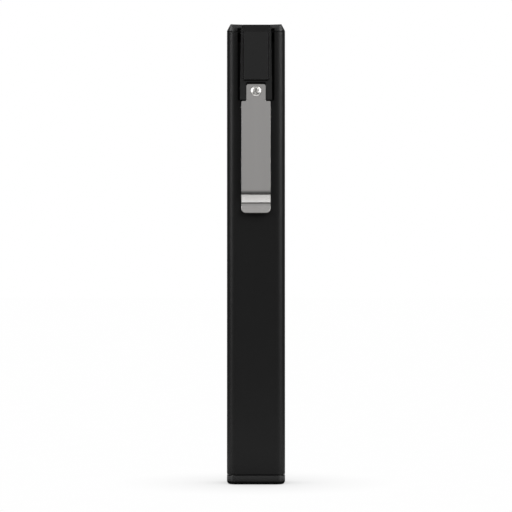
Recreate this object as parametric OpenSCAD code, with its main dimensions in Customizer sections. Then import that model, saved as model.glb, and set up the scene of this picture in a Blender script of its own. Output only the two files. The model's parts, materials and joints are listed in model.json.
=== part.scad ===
// Slim rechargeable penlight with a steel pocket clip, standing on its bottom cap.
// Millimetres. +Z runs up the case, the back with the clip faces -Y and the lamp window faces +Y.
// The origin is the middle of the face that it stands on.

/* [Case] */
// Width of the case across its back
body_w = 20.5; // [19:0.5:26]
// Depth of the case from back to front
body_d = 16; // [15:0.5:20]
// Height of the whole case with its caps
body_h = 162; // [150:1:190]
// Radius of the four long edges
edge_r = 3.4; // [2.4:0.2:5]
// Wall thickness of the tube
wall = 1.5; // [1.2:0.1:1.8]
// Clearance of the chassis and of the caps' plugs inside the tube
slide_fit = 0.15; // [0.05:0.05:0.3]

/* [Caps] */
// Height of the bottom cap below its seal
foot_h = 3.1; // [2.6:0.1:6]
// Rounding of the bottom cap's lower edge
foot_round = 1.2; // [0.4:0.1:2]
// Height of the top cap above its seal
crown_h = 2.45; // [2:0.05:4]
// How far the chamfer at each side of the top cap cuts in
crown_side_in = 1.35; // [0.6:0.05:2]
// Upright rim left below those side chamfers
crown_rim = 0.15; // [0.1:0.05:0.6]
// Height of the chamfer along the back and front of the top cap
crown_lip_h = 1.3; // [0.4:0.05:1.4]
// Depth of that chamfer
crown_lip_in = 0.8; // [0.3:0.05:1.2]
// Depth of the hollow across the top
crown_dip = 0.25; // [0.1:0.05:0.6]
// Length of each cap's plug inside the tube
plug_h = 3.5; // [2.5:0.1:6]
// Thickness of the bottom cap's seal
foot_seal_t = 0.6; // [0.3:0.1:1]
// Thickness of the top cap's seal
crown_seal_t = 0.3; // [0.2:0.05:0.6]
// How far the seals lie behind the outer face
seal_inset = 0.6; // [0.2:0.1:0.8]
// Distance of each bottom cap screw from the middle
foot_screw_x = 5.2; // [4:0.1:6]

/* [Clip holder] */
// Distance from the top of the case to the holder's lower end
holder_drop = 26.8; // [24:0.2:30]
// Width of the holder's plate at its lower end
holder_w = 11.2; // [10.8:0.1:12.4]
// How much narrower the plate gets on each side towards its top
holder_taper = 0.35; // [0:0.05:0.5]
// Open groove between the plate's lower end and each side of the slot
holder_groove = 0.9; // [0.3:0.05:1]
// Distance from the top of the case to the top of the groove
groove_drop = 1.6; // [1.4:0.1:2]
// How deep the groove runs into the top cap's plug
groove_sink = 1.8; // [0.5:0.1:2.2]
// Width of the raised block at its foot
block_w = 9.4; // [9:0.1:10.8]
// How much narrower the block gets on each side towards its face
block_draft = 0.5; // [0.2:0.05:0.8]
// How far the block rises above the plate
block_rise = 1.5; // [1:0.1:2.5]
// Distance from the top of the case to the block's top
block_drop = 0.4; // [0.1:0.1:0.6]
// Distance from the top of the case to the upper edge of the block's face
block_face_drop = 3.2; // [2.2:0.1:4]
// Distance from the top of the case to the block's lower end
block_end_drop = 19.8; // [18:0.1:20]
// Rounding of the block's lower edge
block_round = 0.3; // [0.2:0.1:0.8]
// Depth of the open groove below the block
block_groove_sink = 2.4; // [1:0.1:3]
// Height of that groove
block_groove_h = 0.45; // [0.3:0.05:0.6]
// Gap at each side of the clip's tab in its seat
seat_gap = 0.2; // [0.15:0.05:0.4]
// Gap above the tab
seat_head = 0.75; // [0.3:0.05:0.9]
// Depth of the moat round the pad that the tab rests on
seat_moat = 2.2; // [0.5:0.1:2.6]
// How far the plate's arms stand above the clip's outer face
arm_proud = 0.2; // [0:0.05:0.4]
// Wall in front of the magnet
magnet_cover = 1.2; // [0.8:0.1:1.6]
// Width of the magnet
magnet_w = 7.6; // [5:0.2:8]
// Length of the magnet
magnet_l = 13; // [8:0.5:14]
// Clearance round the magnet
magnet_fit = 0.1; // [0.05:0.05:0.2]

/* [Clip] */
// Width of the clip's leaf
clip_w = 10.2; // [9:0.1:11]
// Thickness of the clip's strip
clip_t = 0.7; // [0.5:0.05:0.9]
// Room between the leaf and the back of the case
clip_room = 2; // [1.6:0.1:3]
// Width of the tab that is screwed down
tab_w = 6.75; // [5.6:0.05:7.4]
// Height of the tab above the holder's lower end
tab_h = 5.4; // [5:0.1:5.8]
// Corner radius of the tab and of the leaf's shoulders
tab_r = 0.7; // [0.3:0.1:1]
// Length of the neck below the holder
neck_h = 0.5; // [0.4:0.1:1.2]
// Distance from the holder's lower end to the bend that touches the case
touch_drop = 36.6; // [30:0.2:44]
// Angle of the leaf's slope towards the case
slope_angle = 27.5; // [20:0.5:35]
// Angle of the lip away from the case
lip_angle = 25; // [15:0.5:35]
// Length of the straight part of the lip
lip_l = 2.6; // [2:0.1:5]
// Corner radius of the lip
lip_r = 1.5; // [0.4:0.1:2]
// Outer radius of the upper bend
bend_r = 4; // [2:0.1:4.5]
// Inner radius of the touching bend
touch_r = 1.5; // [0.4:0.1:2]
// Gap left under the touching bend
touch_gap = 0.08; // [0.05:0.01:0.2]
// Height of the clip screw above the holder's lower end
clip_screw_rise = 3; // [2.6:0.1:3.2]
// Radius of the clip screw's head
clip_head_r = 1.83; // [1.6:0.05:2]
// Height of the clip screw's head
clip_head_h = 1.25; // [1:0.05:1.5]
// Length of the clip screw below its head
clip_screw_l = 8; // [7:0.5:9]
// Outer radius of the threaded insert
insert_r = 1.6; // [1.4:0.1:2]
// Length of the threaded insert
insert_l = 4; // [3:0.1:5]

/* [Main lamp] */
// Width of the window's opening
window_w = 9.6; // [8:0.1:11]
// Bare length left above and below the window's opening in its bay
window_margin = 2.2; // [1.6:0.1:5]
// Corner radius of the window's opening
window_r = 2.4; // [1:0.1:3.5]
// Width of the step that the window's rim sits on
window_step = 1; // [0.6:0.1:1.4]
// Depth of that step in the tube's wall
window_sink = 0.9; // [0.6:0.1:1]
// How far the window stands proud of the case
window_proud = 0.3; // [0.1:0.1:0.8]
// Thickness of the window's gasket
gasket_t = 0.2; // [0.1:0.05:0.4]
// How far the window reaches inside the tube's wall
window_inside = 0.3; // [0.1:0.1:0.5]
// Thickness of the strip's board
strip_t = 1; // [0.6:0.1:1.6]
// Width of the strip's board
strip_w = 8.8; // [7:0.1:10]
// Width of one light chip, across the case
chip_w = 3.5; // [2.8:0.1:5]
// Length of one light chip, along the case
chip_l = 2.8; // [2:0.1:3.5]
// Height of one light chip
chip_h = 0.7; // [0.5:0.1:1]
// Spacing of the light chips
chip_pitch = 5; // [4:0.5:10]
// Air between the chips and the window
chip_air = 0.3; // [0.1:0.1:0.8]
// Thickness of the heat spreader
spreader_t = 1.2; // [0.8:0.1:1.8]

/* [End lamp] */
// Thickness of the cap's skirt round the end lamp
spot_skirt = 0.9; // [0.7:0.1:1.2]
// Width of the ledge that holds the lens
spot_ledge = 1.05; // [0.8:0.05:1.4]
// Thickness of the cap's roof over the lens rim
spot_roof = 1.5; // [1.3:0.1:2]
// Widening of the opening towards the top
spot_flare = 0.5; // [0.2:0.1:0.8]
// Thickness of the lens seal's ring
spot_ring_d = 0.8; // [0.5:0.1:1.2]
// Height of the lens rim
spot_rim_h = 1; // [0.6:0.1:1.6]
// Radius of the lens at its lower end
spot_lens_r = 2.7; // [2.2:0.1:3.2]
// Depth of the lamp's bore in the chassis
spot_bore_h = 7.7; // [7:0.1:10]
// Thickness of the end lamp's board
spot_board_t = 1.2; // [0.8:0.1:1.6]
// Side of the end lamp's chip
spot_led_w = 3.4; // [2.8:0.1:4]
// Height of the end lamp's chip without its dome
spot_led_h = 0.8; // [0.5:0.1:1.2]
// Radius of the chip's dome
spot_dome_r = 1.2; // [0.8:0.1:1.4]

/* [Switch] */
// Radius of the push button
button_r = 4.5; // [3.5:0.1:5]
// Clearance round the button in the tube
button_fit = 0.15; // [0.1:0.05:0.3]
// How far the button stands proud of the case
button_proud = 0.8; // [0.5:0.1:1.5]
// Depth of the dish in the button's face
button_dish = 0.35; // [0.1:0.05:0.6]
// Width of the button's flange inside the tube
button_flange_w = 0.9; // [0.6:0.1:1.4]
// Thickness of the button's flange
button_flange_t = 0.9; // [0.6:0.1:1.2]
// Radius of the button's stem
button_stem_r = 1.5; // [1:0.1:1.7]
// Inward travel of the button
button_travel = 0.5; // [0.3:0.05:0.8]
// Distance from the board's upper end to the button's middle
button_drop = 9; // [8:0.5:12]
// Side of the switch's body
switch_w = 6; // [5:0.1:7]
// Height of the switch's body
switch_h = 2; // [1.6:0.1:3]
// Radius of the switch's plunger
plunger_r = 1.7; // [1.2:0.1:2]
// How far the plunger stands out of the switch
plunger_out = 1; // [0.9:0.1:1.6]

/* [Charging] */
// Height of the port's middle above the board's lower end
port_rise = 11; // [9:0.5:14]
// Length of the port's opening along the case
port_l = 12.8; // [11:0.1:14]
// Width of the port's opening across the case
port_w = 7; // [5.5:0.1:7.6]
// Corner radius of the port's opening
port_r = 3; // [1.5:0.1:3.2]
// Clearance of the cover in the opening
cover_fit = 0.15; // [0.1:0.05:0.3]
// Width of the cover's strap
strap_w = 4; // [2.5:0.1:5]
// Length of the cover's strap above the opening
strap_l = 1.2; // [0.8:0.1:2]
// Thickness of the cover's strap
strap_t = 0.8; // [0.5:0.1:1]
// Length of the strap's fixed end
anchor_l = 3; // [2:0.1:5]
// Width of the anchor's head beyond the strap, on each side
anchor_head = 0.9; // [0.5:0.1:1.5]
// Thickness of the anchor's head
anchor_head_t = 0.6; // [0.4:0.1:0.8]
// Length of the socket's mouth
usb_l = 8.94; // [8.8:0.02:9.2]
// Height of the socket
usb_h = 3.2; // [3:0.02:3.4]
// Depth of the socket
usb_depth = 7.3; // [6.5:0.1:8]
// Wall of the socket's shell
usb_wall = 0.3; // [0.2:0.05:0.35]
// Thickness of the socket's back
tongue_back = 1; // [0.6:0.1:1.5]
// Thickness of the socket's tongue
tongue_t = 0.7; // [0.6:0.05:0.8]
// Width of the socket's tongue
tongue_w = 6.7; // [6.4:0.1:6.9]
// How far the tongue lies behind the socket's mouth
tongue_inset = 1; // [0.8:0.1:1.4]
// How far the cover's plug reaches into the socket
cover_plug = 0.6; // [0.3:0.1:0.7]
// Clearance of the cover's plug in the socket
plug_fit = 0.35; // [0.3:0.05:0.5]
// Radius of the fingernail scoop below the cover
scoop_r = 2.1; // [1.9:0.1:2.4]
// Distance from the button to the charge light
pipe_drop = 9.5; // [8:0.5:12]
// Radius of the charge light's pipe
pipe_r = 1; // [0.8:0.1:1.5]
// Width of the charge light's chip
charge_led_w = 0.8; // [0.6:0.1:1.2]
// Length of the charge light's chip
charge_led_l = 1.6; // [1.2:0.1:2]
// Height of the charge light's chip
charge_led_h = 0.6; // [0.4:0.1:0.8]

/* [Insides] */
// Wall of the chassis behind the battery
chassis_back = 1.2; // [0.8:0.1:1.6]
// Wall of the chassis beside the battery
rail_w = 1.6; // [1.4:0.1:2]
// Wall of the chassis beside the boards
rail_top_w = 1; // [0.7:0.1:1.2]
// Solid end of the chassis that takes the bottom cap's screws
chassis_end = 6; // [5:0.5:8]
// Wall between the board's bay and the lamp's bay
divider = 3; // [2:0.5:5]
// Deck between the main lamp and the end lamp
deck = 1.2; // [0.8:0.1:2]
// Solid chassis left below the clip's insert
insert_block = 2.9; // [2:0.1:5]
// Clearance round the boards and the battery
board_fit = 0.2; // [0.1:0.05:0.4]
// Length of the main board
board_l = 46; // [42:1:52]
// Thickness of the main board
board_t = 1; // [0.8:0.1:1.2]
// Distance of the board's screws from its long edges
board_screw_edge = 2.6; // [1.8:0.1:2.7]
// Distance of the lower board screw from the board's lower end
board_screw_low = 5; // [3:0.5:7]
// Distance of the upper board screw from the board's upper end
board_screw_high = 4; // [3:0.5:6]
// Bare edge of the board beside its parts
part_edge = 0.9; // [0.5:0.1:1.2]
// Gap between the parts on the board
part_gap = 0.5; // [0.3:0.1:0.7]
// Side of the board's control chips
control_side = 4; // [3:0.1:4.4]
// Height of the control chips and of the small capacitors
control_rise = 0.9; // [0.6:0.1:1.2]
// Side of the board's coil
coil_side = 4.6; // [3.6:0.1:4.8]
// Height of the coil
coil_rise = 2.4; // [1.5:0.1:3]
// Width of a small capacitor
cap_w = 1; // [0.6:0.1:1.2]
// Length of a small capacitor
cap_l = 1.8; // [1.2:0.1:2]
// Small capacitors in each row
cap_count = 3; // [1:1:3]
// Room below the battery for its board and leads
battery_room = 5; // [4:0.5:10]
// Thickness of the battery's foam pad
pad_t = 0.8; // [0.4:0.1:1.2]
// Distance of the foam pad from each end of the battery
pad_inset = 11; // [5:0.5:25]
// Corner radius of the battery
battery_r = 2.4; // [1:0.1:3]
// Radius of the insulated leads
lead_r = 0.4; // [0.25:0.05:0.5]
// Gap between a lead and what it is soldered on
lead_gap = 0.03; // [0.02:0.01:0.05]
// Distance of the leads from the middle
lead_x = 2.5; // [2:0.1:3]
// Length of a lead that lies on its board
lead_solder = 2; // [1:0.5:2.5]
// Radius of the machine screws' threads
screw_r = 1; // [0.8:0.05:1.1]
// Clearance of a screw in its hole
screw_fit = 0.1; // [0.05:0.05:0.2]
// Radius of the small screws' heads
small_head_r = 1.8; // [1.6:0.1:1.9]
// Height of the small screws' heads
small_head_h = 1.1; // [0.8:0.1:1.4]
// Length of the bottom cap's screws below their heads
foot_screw_l = 9; // [8.5:0.5:10]
// Length of the board screws below their heads
board_screw_l = 3; // [2.5:0.5:4]

/* [Hidden] */
$fn = 64;

// How far a cutting shape reaches past what it cuts
over = 2;
// Facets of very wide arcs, and steps along a bend of the clip
wide_fn = 720;
bend_steps = 10;
// How much fuller than its wire the ball at a bend is
bend_full = 1.08;
// A screw head's shares: flatness of its crown, and span, width and depth of its cross
crown_flat = 1.25;
cross_span = 1.15;
cross_slot = 0.3;
cross_depth = 0.62;

// The tube, its faces and its ends
inner_w = body_w - 2 * wall;
inner_d = body_d - 2 * wall;
inner_r = max(edge_r - wall, wall / 2);
back_y = -body_d / 2;
front_y = body_d / 2;
side_x = body_w / 2;
inner_back_y = -inner_d / 2;
inner_front_y = inner_d / 2;
inner_side_x = inner_w / 2;
tube_z0 = foot_h + foot_seal_t;
tube_z1 = body_h - crown_h - crown_seal_t;
plug_w = inner_w - 2 * slide_fit;
plug_d = inner_d - 2 * slide_fit;
plug_r = inner_r - slide_fit;

// The clip and its holder, in depth
leaf_in_y = back_y - clip_room;
leaf_out_y = leaf_in_y - clip_t;
arm_y = leaf_out_y - arm_proud;
block_y = arm_y - block_rise;
magnet_y = block_y + magnet_cover;

// The clip and its holder, in height
holder_z0 = body_h - holder_drop;
groove_z1 = body_h - groove_drop;
holder_z1 = groove_z1 - slide_fit;
slot_z0 = holder_z0 - slide_fit;
slot_w = holder_w + 2 * holder_groove;
holder_top_w = holder_w - 2 * holder_taper;
block_z0 = body_h - block_end_drop;
block_z1 = body_h - block_drop;
block_face_z1 = body_h - block_face_drop;
magnet_z = (block_z0 + block_face_z1) / 2;
tab_z1 = holder_z0 + tab_h;
seat_w = tab_w + 2 * seat_gap;
shoulder_z = holder_z0 - neck_h;
clip_screw_z = holder_z0 + clip_screw_rise;

// The clip's side view: middle of the strip at each bend, from the leaf down to the lip
strip_y = (leaf_in_y + leaf_out_y) / 2;
touch_z = holder_z0 - touch_drop;
bend_mid = bend_r - clip_t / 2;
touch_mid = touch_r + clip_t / 2;
touch_c = [back_y - touch_gap - touch_r - clip_t, touch_z];
slope_end = touch_c + touch_mid * [cos(slope_angle), sin(slope_angle)];
slope_run = slope_end[0] - strip_y - bend_mid * (1 - cos(slope_angle));
slope_l = slope_run / sin(slope_angle);
slope_start = slope_end - slope_l * [sin(slope_angle), -cos(slope_angle)];
bend_c = slope_start + bend_mid * [cos(slope_angle), sin(slope_angle)];
lip_start = touch_c + touch_mid * [cos(lip_angle), -sin(lip_angle)];
lip_z0 = lip_start[1] - lip_l * cos(lip_angle) - clip_t / 2 * sin(lip_angle);

// The chassis and its bays
chassis_z0 = tube_z0 + plug_h;
chassis_z1 = tube_z1 - plug_h;
chassis_back_y = -plug_d / 2;
floor_y = chassis_back_y + chassis_back;
bay_w = plug_w - 2 * rail_w;
bay_top_w = plug_w - 2 * rail_top_w;
board_bay_z0 = chassis_z0 + chassis_end;
board_z0 = board_bay_z0 + board_fit;
board_z1 = board_z0 + board_l;
board_bay_z1 = board_z1 + board_fit;
lamp_z0 = board_bay_z1 + divider;
spot_z0 = chassis_z1 - spot_bore_h;
lamp_z1 = spot_z0 - deck;
battery_z1 = clip_screw_z - insert_r - insert_block;
cell_z0 = lamp_z0 + battery_room;
cell_z1 = battery_z1 - board_fit;
cell_y1 = floor_y + board_fit;
pad_l = cell_z1 - cell_z0 - 2 * pad_inset;

// The board's half width and its screws, and half the width of the passages for the leads
board_reach = bay_top_w / 2 - board_fit;
board_screw_x = board_reach - board_screw_edge;
board_screw_spots = [[-1, board_z0 + board_screw_low], [1, board_z1 - board_screw_high]];
foot_seat_z = 2 * small_head_h;
lead_bay_x = lead_x + 3 * lead_r;
lead_inner_x = lead_x - 3 * lead_r;

// The main lamp, from the window in to the battery
window_z = (lamp_z0 + lamp_z1) / 2;
window_l = lamp_z1 - lamp_z0 - 2 * window_margin;
rim_w = window_w + 2 * window_step;
rim_l = window_l + 2 * window_step;
rim_r = window_r + window_step;
rim_y = front_y - window_sink;
window_back_y = inner_front_y - window_inside;
strip_y1 = window_back_y - chip_air - chip_h;
strip_y0 = strip_y1 - strip_t;
spreader_y0 = strip_y0 - spreader_t;
strip_l = window_l;
chip_count = floor((strip_l - chip_l) / chip_pitch);
cell_y2 = spreader_y0 - pad_t;

// The end lamp
spot_r = plug_d / 2 - spot_skirt;
spot_fit_r = spot_r - slide_fit;
spot_hole_r = spot_r - spot_ledge;
ledge_z = body_h - spot_roof;
lens_z1 = ledge_z - spot_ring_d;
lens_z0 = spot_z0 + spot_board_t + spot_led_h + spot_dome_r;

// The charging port and the board that its socket stands on
board_y1 = -usb_h / 2;
board_y0 = board_y1 - board_t;
port_z = board_z0 + port_rise;
port_z1 = port_z + port_l / 2;
cover_x = inner_side_x + cover_fit;
socket_x = plug_w / 2;
hinge_z = port_z1 + strap_l;
anchor_z1 = hinge_z + anchor_l;

// The switch
button_z = board_z1 - button_drop;
flange_y = inner_front_y - button_fit / 3;
seal_r = wall / 4;
seal_reach = button_fit * 0.8;
plunger_y = board_y1 + switch_h + plunger_out;
plunger_bore_r = plunger_r + screw_fit;
plunger_foot_y = board_y1 + switch_h - button_travel;
pipe_z = button_z - pipe_drop;

black = "#1b1b1d";
dark = "#2c2d30";
rubber = "#161617";
steel = "#a9a7a4";
bright = "#d6d6d8";
brass = "#b5924c";
clear = "#dfe7ea";
green = "#1f5a38";
white = "#eceae2";
yellow = "#ecd37a";
silver = "#b9bcc2";

// Flat rounded rectangle about its middle
module rounded(w, d, r) {
  square([w - 2 * r, d], center = true);
  square([w, d - 2 * r], center = true);
  for (x = [-1, 1], y = [-1, 1])
    translate([x * (w / 2 - r), y * (d / 2 - r)])
      circle(r);
}

// Upright prism of a flat outline from z0 to z1
module upright(z0, z1) {
  translate([0, 0, z0])
    linear_extrude(height = z1 - z0)
      children();
}

// Prism from y0 to y1 of an outline drawn in X and Z
module through_y(y0, y1) {
  translate([0, y1, 0])
    rotate([90, 0, 0])
      linear_extrude(height = y1 - y0)
        children();
}

// Prism from x0 to x1 of an outline drawn in Y and Z
module through_x(x0, x1) {
  translate([x0, 0, 0])
    rotate([90, 0, 90])
      linear_extrude(height = x1 - x0)
        children();
}

// Round rod along Y from y0 to y1
module rod_y(y0, y1, r) {
  translate([0, y0, 0])
    rotate([-90, 0, 0])
      cylinder(h = y1 - y0, r = r);
}

// Box between two corners
module block(low, high) {
  translate(low)
    cube(high - low);
}

// Round wire through a list of points, with a slightly fuller ball at each bend
module wire(points, r) {
  for (i = [0 : len(points) - 2]) {
    run = points[i + 1] - points[i];
    reach = norm(run);
    translate(points[i])
      rotate([0, acos(run[2] / reach), atan2(run[1], run[0])])
        cylinder(h = reach, r = r);
  }
  if (len(points) > 2)
    for (i = [1 : len(points) - 2])
      translate(points[i])
        sphere(r * bend_full);
}

// Cross-shaped driver recess sunk along +Z from the origin
module cross_recess(span, slot, depth) {
  for (turn = [0, 90])
    rotate(turn)
      translate([-span / 2, -slot / 2, 0])
        cube([span, slot, depth]);
}

// Pan-head screw along +Z, its head below the origin
module pan_screw(head_r, head_h, thread_r, thread_l) {
  crown_r = (head_r * head_r + head_h * head_h) / (2 * head_h) * crown_flat;
  difference() {
    union() {
      intersection() {
        translate([0, 0, -head_h])
          cylinder(h = head_h, r = head_r);
        translate([0, 0, crown_r - head_h])
          sphere(crown_r);
      }
      cylinder(h = thread_l, r = thread_r);
    }
    translate([0, 0, -head_h - over])
      cross_recess(head_r * cross_span, head_r * cross_slot, over + head_h * cross_depth);
  }
}

module body_tube() {
  color(black)
    difference() {
      upright(tube_z0, tube_z1)
        rounded(body_w, body_d, edge_r);
      upright(tube_z0 - over, tube_z1 + over)
        rounded(inner_w, inner_d, inner_r);
      // open-topped slot for the clip holder
      block([-slot_w / 2, back_y - over, slot_z0], [slot_w / 2, inner_back_y + wall / 2, tube_z1 + over]);
      // window opening and the step for its rim
      translate([0, 0, window_z]) {
        through_y(inner_front_y - wall / 2, front_y + over)
          rounded(window_w, window_l, window_r);
        through_y(rim_y, front_y + over)
          rounded(rim_w, rim_l, rim_r);
      }
      translate([0, 0, button_z])
        rod_y(inner_front_y - wall / 2, front_y + over, button_r + button_fit);
      translate([0, 0, pipe_z])
        rod_y(inner_front_y - wall / 2, front_y + over, pipe_r + button_fit / 2);
      // charging port, the strap's slot above it and a fingernail scoop below it
      translate([0, 0, port_z])
        through_x(inner_side_x - wall / 2, side_x + over)
          rounded(port_w, port_l, port_r);
      block(
        [inner_side_x - wall / 2, -strap_w / 2 - cover_fit, port_z1 - port_r / 2],
        [side_x + over, strap_w / 2 + cover_fit, anchor_z1 + cover_fit]
      );
      translate([side_x + wall, 0, port_z - port_l / 2])
        rod_y(-strap_w / 2, strap_w / 2, scoop_r);
    }
}

// Outline of a cap's plug, which fits the inside of the tube
module plug_outline() {
  rounded(plug_w, plug_d, plug_r);
}

module top_cap() {
  cap_z0 = body_h - crown_h;
  rim_z = cap_z0 + crown_rim;
  lip_z = body_h - crown_lip_h;
  dip_r = (body_w * body_w / 4 + crown_dip * crown_dip) / (2 * crown_dip);
  notch_y = inner_back_y + slide_fit / 2;
  color(black)
    difference() {
      union() {
        intersection() {
          upright(cap_z0, body_h)
            rounded(body_w, body_d, edge_r);
          through_y(back_y, front_y)
            polygon([
              [-side_x, cap_z0], [side_x, cap_z0], [side_x, rim_z],
              [side_x - crown_side_in, body_h], [crown_side_in - side_x, body_h], [-side_x, rim_z]
            ]);
          through_x(-side_x, side_x)
            polygon([
              [back_y, cap_z0], [front_y, cap_z0], [front_y, lip_z],
              [front_y - crown_lip_in, body_h], [back_y + crown_lip_in, body_h], [back_y, lip_z]
            ]);
        }
        upright(chassis_z1, cap_z0)
          plug_outline();
      }
      translate([0, 0, body_h - crown_dip + dip_r])
        rod_y(back_y - over, front_y + over, dip_r, $fn = wide_fn);
      // bore, opening and flare of the end lamp
      translate([0, 0, chassis_z1 - over])
        cylinder(h = ledge_z - chassis_z1 + over, r = spot_r);
      translate([0, 0, ledge_z - over])
        cylinder(h = spot_roof + 2 * over, r = spot_hole_r);
      translate([0, 0, ledge_z + spot_ring_d / 2])
        cylinder(h = spot_roof, r1 = spot_hole_r, r2 = spot_hole_r + spot_flare * 2);
      // notch for the holder's plate, and a closer one for its block above
      block([-slot_w / 2, back_y - over, cap_z0 - over], [slot_w / 2, notch_y, groove_z1]);
      block(
        [-block_w / 2 - cover_fit, back_y - over, cap_z0],
        [block_w / 2 + cover_fit, notch_y, body_h + over]
      );
      // the grooves beside the plate, down into the plug
      for (s = [-1, 1])
        translate([s * (slot_w + holder_top_w) / 4, notch_y, 0])
          upright(chassis_z1 - over, groove_z1)
            square([(slot_w - holder_top_w) / 2, 2 * groove_sink], center = true);
    }
}

// Ring between a cap and the tube, set back from the outer face
module seal_ring(z0, t) {
  difference() {
    upright(z0, z0 + t)
      rounded(body_w - 2 * seal_inset, body_d - 2 * seal_inset, edge_r - seal_inset);
    upright(z0 - over, z0 + t + over)
      rounded(inner_w, inner_d, inner_r);
  }
}

module top_cap_seal() {
  color(rubber)
    difference() {
      seal_ring(tube_z1, crown_seal_t);
      block([-slot_w / 2, back_y - over, tube_z1 - over], [slot_w / 2, 0, tube_z1 + crown_seal_t + over]);
    }
}

module bottom_cap_seal() {
  color(rubber)
    seal_ring(foot_h, foot_seal_t);
}

// Side view of the bottom cap over a span, rounded along its lower edge
module foot_side(span) {
  translate([-span / 2, foot_round])
    square([span, foot_h - foot_round]);
  translate([-span / 2 + foot_round, 0])
    square([span - 2 * foot_round, foot_h]);
  for (s = [-1, 1])
    translate([s * (span / 2 - foot_round), foot_round])
      circle(foot_round);
}

module bottom_cap() {
  color(black)
    difference() {
      union() {
        through_y(edge_r - body_d / 2, body_d / 2 - edge_r)
          foot_side(body_w);
        through_x(edge_r - body_w / 2, body_w / 2 - edge_r)
          foot_side(body_d);
        for (quarter = [0 : 3]) {
          across = quarter % 2 == 0 ? [body_w, body_d] : [body_d, body_w];
          rotate(90 * quarter)
            translate([across[0] / 2 - edge_r, across[1] / 2 - edge_r, 0])
              rotate_extrude(angle = 90)
                intersection() {
                  foot_side(2 * edge_r);
                  square([edge_r, foot_h]);
                }
        }
        upright(foot_h, chassis_z0)
          plug_outline();
      }
      for (s = [-1, 1])
        translate([s * foot_screw_x, 0, 0]) {
          translate([0, 0, -over])
            cylinder(h = chassis_z0 + 2 * over, r = screw_r + screw_fit);
          translate([0, 0, -over])
            cylinder(h = over + foot_seat_z, r = small_head_r + screw_fit);
        }
    }
}

module bottom_cap_screws() {
  color(steel)
    for (s = [-1, 1])
      translate([s * foot_screw_x, 0, foot_seat_z])
        pan_screw(small_head_r, small_head_h, screw_r, foot_screw_l);
}

module chassis() {
  foot_screw_tip = foot_seat_z + foot_screw_l;
  wire_y0 = board_y1 - 2 * lead_r;
  color(dark)
    difference() {
      upright(chassis_z0, chassis_z1)
        plug_outline();
      // battery bay, with the lamp's wider bay in front of it
      block([-bay_w / 2, floor_y, lamp_z0], [bay_w / 2, spreader_y0 + over, battery_z1]);
      block([-bay_top_w / 2, spreader_y0, lamp_z0], [bay_top_w / 2, front_y, lamp_z1]);
      // board bay, with ledges under the board's long edges and two screw posts
      difference() {
        block([-bay_w / 2, floor_y, board_bay_z0], [bay_w / 2, board_y0 + over, board_bay_z1]);
        for (spot = board_screw_spots)
          translate([spot[0] * board_screw_x, 0, spot[1]])
            rod_y(chassis_back_y, board_y0, small_head_r);
      }
      block([-bay_top_w / 2, board_y0, board_bay_z0], [bay_top_w / 2, front_y, board_bay_z1]);
      for (spot = board_screw_spots)
        translate([spot[0] * board_screw_x, 0, spot[1]])
          rod_y(board_y1 - board_screw_l - screw_fit, board_y0 + over, screw_r + screw_fit);
      // end lamp's bore and the passages for the leads
      translate([0, 0, spot_z0])
        cylinder(h = spot_bore_h + over, r = spot_r);
      block([-lead_bay_x, wire_y0, board_bay_z1 - over], [lead_bay_x, front_y, lamp_z0 + over]);
      block(
        [-lead_bay_x, strip_y1 - 4 * lead_r, lamp_z1 - over],
        [lead_bay_x, front_y, spot_z0 + spot_board_t + 4 * lead_r]
      );
      // threaded insert of the clip's screw
      translate([0, 0, clip_screw_z]) {
        rod_y(chassis_back_y - over, chassis_back_y + insert_l, insert_r + magnet_fit / 2);
        rod_y(chassis_back_y, leaf_out_y + clip_screw_l + screw_fit, screw_r + screw_fit);
      }
      // bottom cap's screws
      for (s = [-1, 1])
        translate([s * foot_screw_x, 0, chassis_z0 - over])
          cylinder(h = foot_screw_tip - chassis_z0 + over + screw_fit, r = screw_r + screw_fit);
      // charging socket and the head of its cover's anchor
      block(
        [bay_w / 2 - over, -port_w / 2, port_z - usb_l / 2 - board_fit],
        [side_x, port_w / 2, anchor_z1 + anchor_head + board_fit]
      );
    }
}

// Side view of the raised block: bevelled at the top, rounded at its lower edge
module block_side() {
  difference() {
    polygon([
      [inner_back_y, block_z0], [block_y, block_z0], [block_y, block_face_z1],
      [block_y + block_z1 - block_face_z1, block_z1], [inner_back_y, block_z1]
    ]);
    translate([block_y, block_z0])
      difference() {
        square(2 * block_round, center = true);
        translate([block_round, block_round])
          circle(block_round);
      }
  }
}

// Front view of the tab that is screwed down, with its lower end inside the neck
module tab_outline() {
  translate([0, tab_z1 - tab_h])
    rounded(tab_w, 2 * tab_h, tab_r);
}

// Front view of the tab's seat, open at the holder's lower end
module seat_outline() {
  translate([0, tab_z1 - tab_h])
    rounded(seat_w, 2 * (tab_h + seat_head), tab_r + seat_gap);
}

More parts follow.
